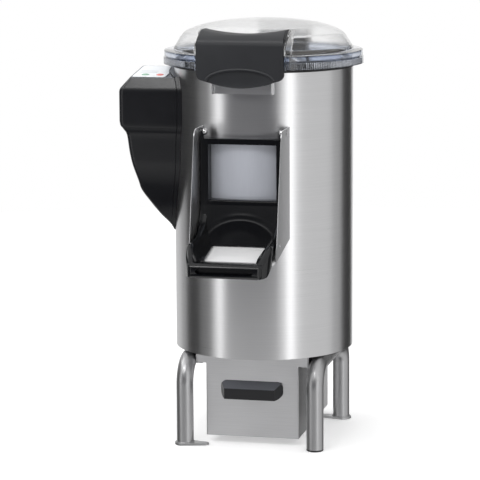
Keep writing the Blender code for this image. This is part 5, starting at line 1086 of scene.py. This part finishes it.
rib_inside = 0.0968
rib_top = 0.9300
rib_rear = 0.1350
rib_front = 0.2335
handle_rib = [(-rib_rear, skirt_bottom), (-rib_rear, rib_top), (-0.1780, rib_top)]
handle_rib += arc(-0.205, 0.9145, 0.0095, 70, 20, 4) + [(-rib_front, 0.9000), (-rib_front, skirt_bottom)]
lid_outline = [(max(r - 0.0004, 0), z - 0.0004) for r, z in outer[:-1]]
lid_outline += [(skirt_radius - 0.0004, skirt_bottom - overrun), (0, skirt_bottom - overrun)]
for label, side in both_sides:
    rib = cut(wall(handle_rib, side, rib_inside, rib_inside + lid_wall), turned(lid_outline, 144))
    fitted(label + "_handle_rib", rib, clear_plastic, "lid", [], edge=0.0008,
           edge_deg=35)

# Lid handle: a deep black moulding hooked over the front edge, with a dished top, a soft brow
# and a finger hold under a raised arch. Charcoal ABS whose spark-eroded texture, about 0.3 mm wide,
# is drawn 1 mm wide; hands polish it a little in places.
charcoal_abs = patterned("textured_charcoal_abs", [(22, 3), (1000, 3)], ("#17181C", "#1E2025"),
                         (0.46, 0.56), bump=(0.12, 0.0002), IOR=1.54)

handle_half_width = 0.0960
handle_shoulder = 0.0930
handle_face = 0.2375
handle_brow_height = 0.9120
handle_top = 0.9310
handle_top_dip = 0.0100
handle_brow_front = 0.2150
handle_back = 0.1600
handle_bottom = 0.8080
handle_corner_height = 0.8240
handle_corner = 0.0150
handle_skin = 0.0110
lid_play = 0.0005
bulge = handle_half_width - handle_corner
belly = handle_corner_height - handle_bottom
right_side = [(handle_half_width, handle_brow_height - handle_corner)]
right_side += arc(bulge, handle_corner_height + handle_corner, handle_corner, 0, -84, 12)
face_outline = [(handle_shoulder * s, handle_top - handle_top_dip * (1 - s * s))
                for s in [k / 16 - 1 for k in range(33)]]
face_outline += right_side
face_outline += [(bulge * s, handle_corner_height - belly * (1 - s * s))
                 for s in [0.97 - 1.94 * k / 32 for k in range(33)]]
face_outline += [(-x, z) for x, z in reversed(right_side)]
brow = smoothed([-handle_back, -0.190, -handle_brow_front, -handle_face + 0.0045, -handle_face], 6)
brow_heights = smoothed([handle_top + 0.004, handle_top + 0.0010, handle_brow_height + handle_skin,
                         handle_brow_height + 0.0005, handle_brow_height - handle_skin], 6)
side_outline = list(zip(brow, brow_heights))
side_outline += [(-handle_face, handle_corner_height), (-handle_face + 0.0012, handle_bottom + 0.004),
                 (-handle_face + 0.003, handle_bottom - end_gap),
                 (-handle_face + handle_skin, handle_bottom - end_gap),
                 (-handle_face + handle_skin, bead_top), (-handle_back, bead_top)]
body = boolean(slab(side_outline, "X", -handle_half_width - 0.01, handle_half_width + 0.01),
               slab(face_outline, "Y", -handle_face - 0.01, -handle_back), "INTERSECT")
clearance = [(r + lid_play if r else 0, z + lid_play) for r, z in outer[:-6]]
clearance += [(bead_radius + lid_play, bead_top + lid_play), (bead_radius + lid_play, bead_top - 0.002),
              (skirt_radius + 0.002, bead_top - 0.002), (skirt_radius + 0.002, handle_bottom - 0.01),
              (0, handle_bottom - 0.01)]

# The finger hold is a shallow oval hollow with a round bead along its upper edge
hold_height = 0.822
hold_half_width = 0.0760
hold_rise = 0.0270
hold_depth = 0.0075
bead_half_width = 0.0745
bead_rise = 0.0265
bead_sink = 0.0020
bead_size = 0.0036
hold = bmesh.new()
bmesh.ops.create_uvsphere(hold, u_segments=64, v_segments=32, radius=1)
hold_place = Matrix.Translation((0, -handle_face, hold_height))
bmesh.ops.transform(hold, verts=hold.verts,
                    matrix=hold_place @ Matrix.Diagonal((hold_half_width, hold_depth, hold_rise, 1)))
arch_rings = []
for k in range(49):
    turn = math.radians(6 + 168 * k / 48)
    away = Vector((math.cos(turn) / bead_half_width, 0, math.sin(turn) / bead_rise)).normalized()
    centre = Vector((bead_half_width * math.cos(turn), -handle_face + bead_sink,
                     hold_height + bead_rise * math.sin(turn)))
    arch_rings.append([centre + bead_size * (math.cos(a) * away + math.sin(a) * Vector((0, -1, 0)))
                       for a in [math.pi * j / 10 for j in range(20)]])
body = fused(cut(body, turned(clearance, 144), hold), skinned(arch_rings, ends="capped"))
fitted("lid_grip", body, charcoal_abs, "lid", ["lid_handle"], edge=0.0016, edge_steps=4)

# Lid hinge and catch: a folded bracket on the drum, a moulded block on the lid and one long pin
# behind; in front a small folded channel under the handle, with the lid's safety switch.
dressed("lid_hinge_bracket", folded_sheet)
dressed("lid_hinge_pin", bright_steel, edge=0.0003)
dressed("lid_hinge_block", satin_abs)
dressed("lid_catch_bracket", folded_sheet, edge=0.0004)
dressed("lid_safety_switch", satin_abs)

# Control box: a deep moulded housing that tapers down to the drum, on a saddle that fits the
# drum's curve. Black ABS with a fine satin texture, 12 mm corners and a 7 mm round shoulder.
box_reach = 0.3045
box_front = 0.1205
box_depth = 0.1510
box_corner = 0.0120
box_hidden = 0.15
shoulder_round = 0.0070
shoulder_steps = 8
box_middle = -box_front + box_depth / 2
saddle_outside = 0.2083
saddle_grow = 0.003
panel_left = 0.2800
panel_front = 0.1090
panel_front_height = 0.8162
panel_tilt = math.radians(8.3)
panel_rear_inset = 0.0260
box_heights = (0.790, 0.719, 0.702, 0.688, 0.650, 0.620, 0.584, 0.562, 0.531, 0.503, 0.480, 0.468)
box_reach_shares = (1, 1, 0.975, 0.950, 0.934, 0.914, 0.878, 0.859, 0.794, 0.734, 0.670, 0.647)
box_width_shares = (1, 1, 0.975, 0.930, 0.890, 0.855, 0.762, 0.670, 0.520, 0.320, 0.130, 0.030)


def box_plan(left, front, back_edge, corner):
    """A rectangle that is rounded on its left and ends inside the drum on its right."""
    return (arc(-left + corner, front + corner, corner, 270, 180, 10)
            + arc(-left + corner, back_edge - corner, corner, 180, 90, 10)
            + [(-box_hidden, back_edge), (-box_hidden, front)])


def housing_body(grow):
    """The housing, lofted from its tip to the panel's edge, and grown all round for the saddle."""
    rings = []
    runs = [smoothed(values[::-1], 4) for values in (box_heights, box_reach_shares, box_width_shares)]
    for height, reach_share, width_share in zip(*runs):
        half = max(box_depth * width_share / 2 + grow, 0.003)
        plan = box_plan(box_reach * min(reach_share, 1.0), box_middle - half, box_middle + half,
                        min(box_corner, half * 3 / 4))
        rings.append([Vector((x, y, height)) for x, y in plan])
    front = -panel_front - grow
    rear_edge = -box_front + box_depth - panel_rear_inset + grow
    top_ring = [Vector((x, y, panel_front_height + grow + math.tan(panel_tilt) * (y - front)))
                for x, y in box_plan(panel_left, front, rear_edge, box_corner / 2)]
    edge_ring = rings.pop()
    below = rings[-1]
    for step in range(shoulder_steps + 1):
        share = step / shoulder_steps
        ring = []
        for low, corner_point, high in zip(below, edge_ring, top_ring):
            start = corner_point + (low - corner_point).normalized() * shoulder_round
            end = corner_point + (high - corner_point).normalized() * shoulder_round
            ring.append(start * (1 - share) ** 2 + corner_point * 2 * share * (1 - share) + end * share ** 2)
        rings.append(ring)
    return skinned(rings + [top_ring], ends="capped")


def on_panel(body):
    """Lays a body made flat, with its corner at the origin, on the sloping panel."""
    panel_place = Matrix.Translation((-panel_left, -panel_front, panel_front_height))
    bmesh.ops.transform(body, matrix=panel_place @ Matrix.Rotation(panel_tilt, 4, "X"), verts=body.verts)
    return body


def box_plug(radius):
    """A cutter for the drum's curve behind the box."""
    return drum_plug(radius, 0.43, 0.88)


def button_holes():
    return [on_panel(rod(button_radius + 0.0006, (x, button_row, -0.02), (x, button_row, 0.02), 40))
            for x in (start_column, stop_column)]


button_row = 0.0240
start_column = 0.0300
stop_column = 0.0635
button_radius = 0.0080
housing = cut(housing_body(0), box_plug(saddle_outside + end_gap), *button_holes())
fitted("control_cover", housing, satin_abs, "machine", ["control_housing"], edge=0.0022,
       edge_deg=28, edge_steps=4)
saddle = boolean(housing_body(saddle_grow), box_plug(saddle_outside), "INTERSECT")
saddle = cut(saddle, box_plug(drum_radius + end_gap), radial_hole(*cable_hole))
fitted("drum_saddle", saddle, satin_abs, "machine", ["control_saddle"], edge=0.0018)

# Control panel: a printed foil on a thin plate, with grey guide lines. The satin foil has a fine
# 0.2 mm embossing, drawn 1 mm wide, and the screen ink lies a little unevenly, in 1 mm specks.
panel_foil = patterned("printed_polyester_foil", [(1000, 2)], ("#E4E8EC", "#EEF1F4"), 0.38,
                       bump=(0.08, 0.0001), IOR=1.58)
panel_thickness = 0.0012
panel_surface = end_gap + panel_thickness
panel = on_panel(slab(rounded(0.004, 0.004, 0.080, 0.108, 0.006), "Z", end_gap, panel_surface))
panel = cut(panel, box_plug(saddle_outside + 0.003), *button_holes())
fitted("control_foil", panel, panel_foil, "machine", ["control_panel"], edge=0.0003)

printing = patterned("grey_screen_print", [(900, 2)], ("#7D8288", "#989CA1"), 0.45)
line_left = 0.012
line_right = 0.052
ink_thickness = 0.0002
for name, low, high in (("upper_print_line", 0.0560, 0.0575), ("lower_print_line", 0.0435, 0.0445)):
    line = slab(rounded(line_left, low, line_right, high, 0.0004, 3), "Z", panel_surface,
                panel_surface + ink_thickness)
    fitted(name, on_panel(line), printing, "machine", [])

# Buttons: moulded push caps, green to start and red to stop, with softly domed tops. They are
# smooth, with a slight 2 mm cloudiness.
cap_top = panel_surface + 0.0012
cap_outline = [(0, cap_top - 0.0112), (0.004, cap_top - 0.0112), (0.004, cap_top - 0.009),
               (button_radius - 0.001, cap_top - 0.009), (button_radius, cap_top - 0.008),
               (button_radius, cap_top - 0.0016), (button_radius - 0.0006, cap_top - 0.0007),
               (button_radius - 0.0018, cap_top - 0.0002), (button_radius / 2, cap_top), (0, cap_top)]
for name, column, shades, slot in (("start", start_column, ("#93BBA5", "#82AC94"), "green_plastic"),
                                   ("stop", stop_column, ("#E0736B", "#D46058"), "red_plastic")):
    cap_plastic = patterned("moulded_" + slot, [(450, 2)], shades, 0.30, IOR=1.54)
    cap = on_panel(moved(turned(cap_outline, 48), column, button_row, 0))
    fitted(name + "_cap", cap, cap_plastic, name + "_button", [name + "_button"], edge_deg=50)
dressed("contact_blocks", satin_abs)

# Inside the box: the control board on its posts. Green solder resist with darker parts.
board, tree = empty_finish("green_solder_resist")
place = node(tree, "TexCoord").outputs["Object"]
# Tracks under the resist show as 2 mm stripes of a slightly lighter green
tracks = node(tree, "TexWave", {"Vector": place, "Scale": 80.0, "Distortion": 4.0}, bands_direction="Z")
tone = node(tree, "Mix", {"Factor": tracks.outputs["Fac"], "A": linear("#0F3B22"), "B": linear("#1C5231")},
            data_type="RGBA")
shader = node(tree, "BsdfPrincipled", {"Base Color": tone.outputs[2], "Roughness": 0.35})
node(tree, "OutputMaterial", {"Surface": shader})
dressed("control_board", board, edge=0.0003)

# Water inlet and cable gland: a brass solenoid valve behind the drum with a spray nozzle inside,
# and a plastic gland for the supply lead. Machined brass dulls in soft patches about 10 mm wide.
brass = patterned("machined_brass", [(100, 4)], ("#C9A35A", "#AE8744"), (0.22, 0.42), Metallic=1.0)
dressed("water_valve", brass, edge=0.0004)
dressed("spray_nozzle", bright_steel, edge=0.0003)
dressed("cable_gland", satin_abs, edge=0.0004)

# Studio floor and room: a pale floor that keeps the machine's shadow, lifted a little towards
# white where it is seen, and clear from below; and a plain white room.
floor_radius = 3.5
floor_sides = 64
floor_height = -0.0002
floor_lift = 0.25
floor_paint, tree = empty_finish("pale_studio_floor")
place = node(tree, "TexCoord").outputs["Object"]
mottle = node(tree, "TexNoise", {"Vector": place, "Scale": 2.0, "Detail": 2.0})
tone = node(tree, "Mix", {"Factor": mottle, "A": linear("#F0F0F0"), "B": linear("#F4F4F4")}, data_type="RGBA")
matt = node(tree, "BsdfDiffuse", {"Color": tone.outputs[2]})
rays = node(tree, "LightPath")
seen = rays.outputs["Is Camera Ray"]
for mirrored in ("Is Glossy Ray", "Is Transmission Ray"):
    seen = node(tree, "Math", {0: seen, 1: rays.outputs[mirrored]}, operation="MAXIMUM")
lift = node(tree, "Math", {0: seen, 1: floor_lift}, operation="MULTIPLY")
glow = node(tree, "Emission", {"Color": (1, 1, 1, 1), "Strength": lift})
both = node(tree, "AddShader", {0: matt, 1: glow})
facing = node(tree, "NewGeometry")
clear = node(tree, "BsdfTransparent")
shown = node(tree, "MixShader", {0: facing.outputs["Backfacing"], 1: both, 2: clear})
node(tree, "OutputMaterial", {"Surface": shown})


def sheet(name, points, faces, finish):
    """A thin piece of the studio, with its finish."""
    mesh = bpy.data.meshes.new(name)
    mesh.from_pydata(points, [], faces)
    mesh.materials.append(finish)
    item = placed(name, mesh)
    item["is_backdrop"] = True
    return item


floor_rim = arc(0, 0, floor_radius, 0, 360 - 360 / floor_sides, floor_sides - 1)
floor = sheet("studio_floor", [(a, b, floor_height) for a, b in floor_rim], [tuple(range(floor_sides))],
              floor_paint)
floor.visible_glossy = False

studio = bpy.data.worlds.new("white_studio_room")
studio.use_nodes = True
studio.node_tree.nodes.clear()
white = node(studio.node_tree, "Background", {"Color": (1, 1, 1, 1), "Strength": 1.0})
node(studio.node_tree, "OutputWorld", {"Surface": white})
bpy.context.scene.world = studio

# Cloths: grey cloths hung in a ring round the machine, which show only in what mirrors them. Each
# has where it begins and ends, in degrees from the front, its lowest and highest edge, its shade.
cloth_distance = 3.0
cloth_steps = 24
for name, from_deg, to_deg, low, high, shade in (("rear_left_pale_cloth", -150, -122, -6.0, 4.0, "#E3E3E3"),
                                                 ("rear_left_grey_cloth", -122, -105, -6.0, 4.0, "#BABABA"),
                                                 ("left_black_cloth", -105, -77, -6.0, 4.0, "#404040"),
                                                 ("left_grey_cloth", -77, -56, -6.0, 4.0, "#858585"),
                                                 ("front_dark_cloth", -37, 31, -0.22, 2.2, "#5A5A5E"),
                                                 ("front_pale_cloth", -37, 31, -1.05, -0.22, "#FFFFFF"),
                                                 ("front_foot_cloth", -56, 31, -6.0, -1.05, "#48484C"),
                                                 ("right_pale_cloth", 58, 108, -6.0, 4.0, "#EEEEEE"),
                                                 ("rear_right_grey_cloth", 108, 129, -6.0, 4.0, "#C4C4C4"),
                                                 ("rear_right_black_cloth", 129, 165, -6.0, 4.0, "#404040")):
    cloth, tree = empty_finish(name)
    lit = node(tree, "Emission", {"Color": linear(shade), "Strength": 1.0})
    node(tree, "OutputMaterial", {"Surface": lit})
    ring = arc(0, 0, cloth_distance, from_deg - 90, to_deg - 90, cloth_steps)
    over = cloth_steps + 1
    item = sheet(name, [(a, b, z) for z in (low, high) for a, b in ring],
                 [(k, k + 1, k + 1 + over, k + over) for k in range(cloth_steps)], cloth)
    item.location = drum_axis
    item.visible_camera = False
    item.visible_diffuse = False
    item.visible_transmission = False
    item.visible_shadow = False

# Soft boxes: a tall narrow one on each side of the front, and two broad ones overhead. Each has its
# direction in degrees from the front, distance, height, width, length and power.
aim_height = 0.9
for name, turn_deg, distance, height, width, length, power in (
        ("right_soft_box", 45, 2.6, 0.9, 0.40, 3.2, 6.2), ("left_soft_box", -45, 2.6, 0.9, 0.24, 3.2, 3.4),
        ("front_top_soft_box", -16, 2.1, 2.5, 1.40, 0.4, 18.0),
        ("left_top_soft_box", -85, 2.2, 2.6, 1.40, 0.9, 16.0)):
    lamp = bpy.data.lights.new(name, "AREA")
    lamp.shape = "RECTANGLE"
    lamp.size = width
    lamp.size_y = length
    lamp.energy = power
    item = placed(name, lamp)
    heading = math.radians(turn_deg)
    item.location = drum_axis + Vector((distance * math.sin(heading), -distance * math.cos(heading), height))
    toward = drum_axis + Vector((0, 0, min(height, aim_height))) - item.location
    item.rotation_euler = toward.to_track_quat("-Z", "Y").to_euler()

# Camera: a long lens from in front, a little to the right and just above the lid
bpy.context.scene.view_settings.view_transform = "Standard"
camera_place = Vector((1.1645, -4.9533, 1.2924))
camera_yaw = 0.2307
camera_pitch = 0.1636
camera_roll = -0.0056
lens = bpy.data.cameras.new("catalogue_camera")
lens.sensor_width = 36.0
lens.lens = 173.03
lens.clip_end = 100.0
camera = placed("catalogue_camera", lens)
level = Vector((math.cos(camera_yaw), math.sin(camera_yaw), 0))
forward = Vector((-math.sin(camera_yaw) * math.cos(camera_pitch),
                  math.cos(camera_yaw) * math.cos(camera_pitch), -math.sin(camera_pitch)))
right = math.cos(camera_roll) * level + math.sin(camera_roll) * level.cross(forward)
upward = right.cross(forward)
camera.matrix_world = Matrix((right, upward, -forward)).transposed().to_4x4()
camera.location = camera_place
bpy.context.scene.camera = camera

low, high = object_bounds()
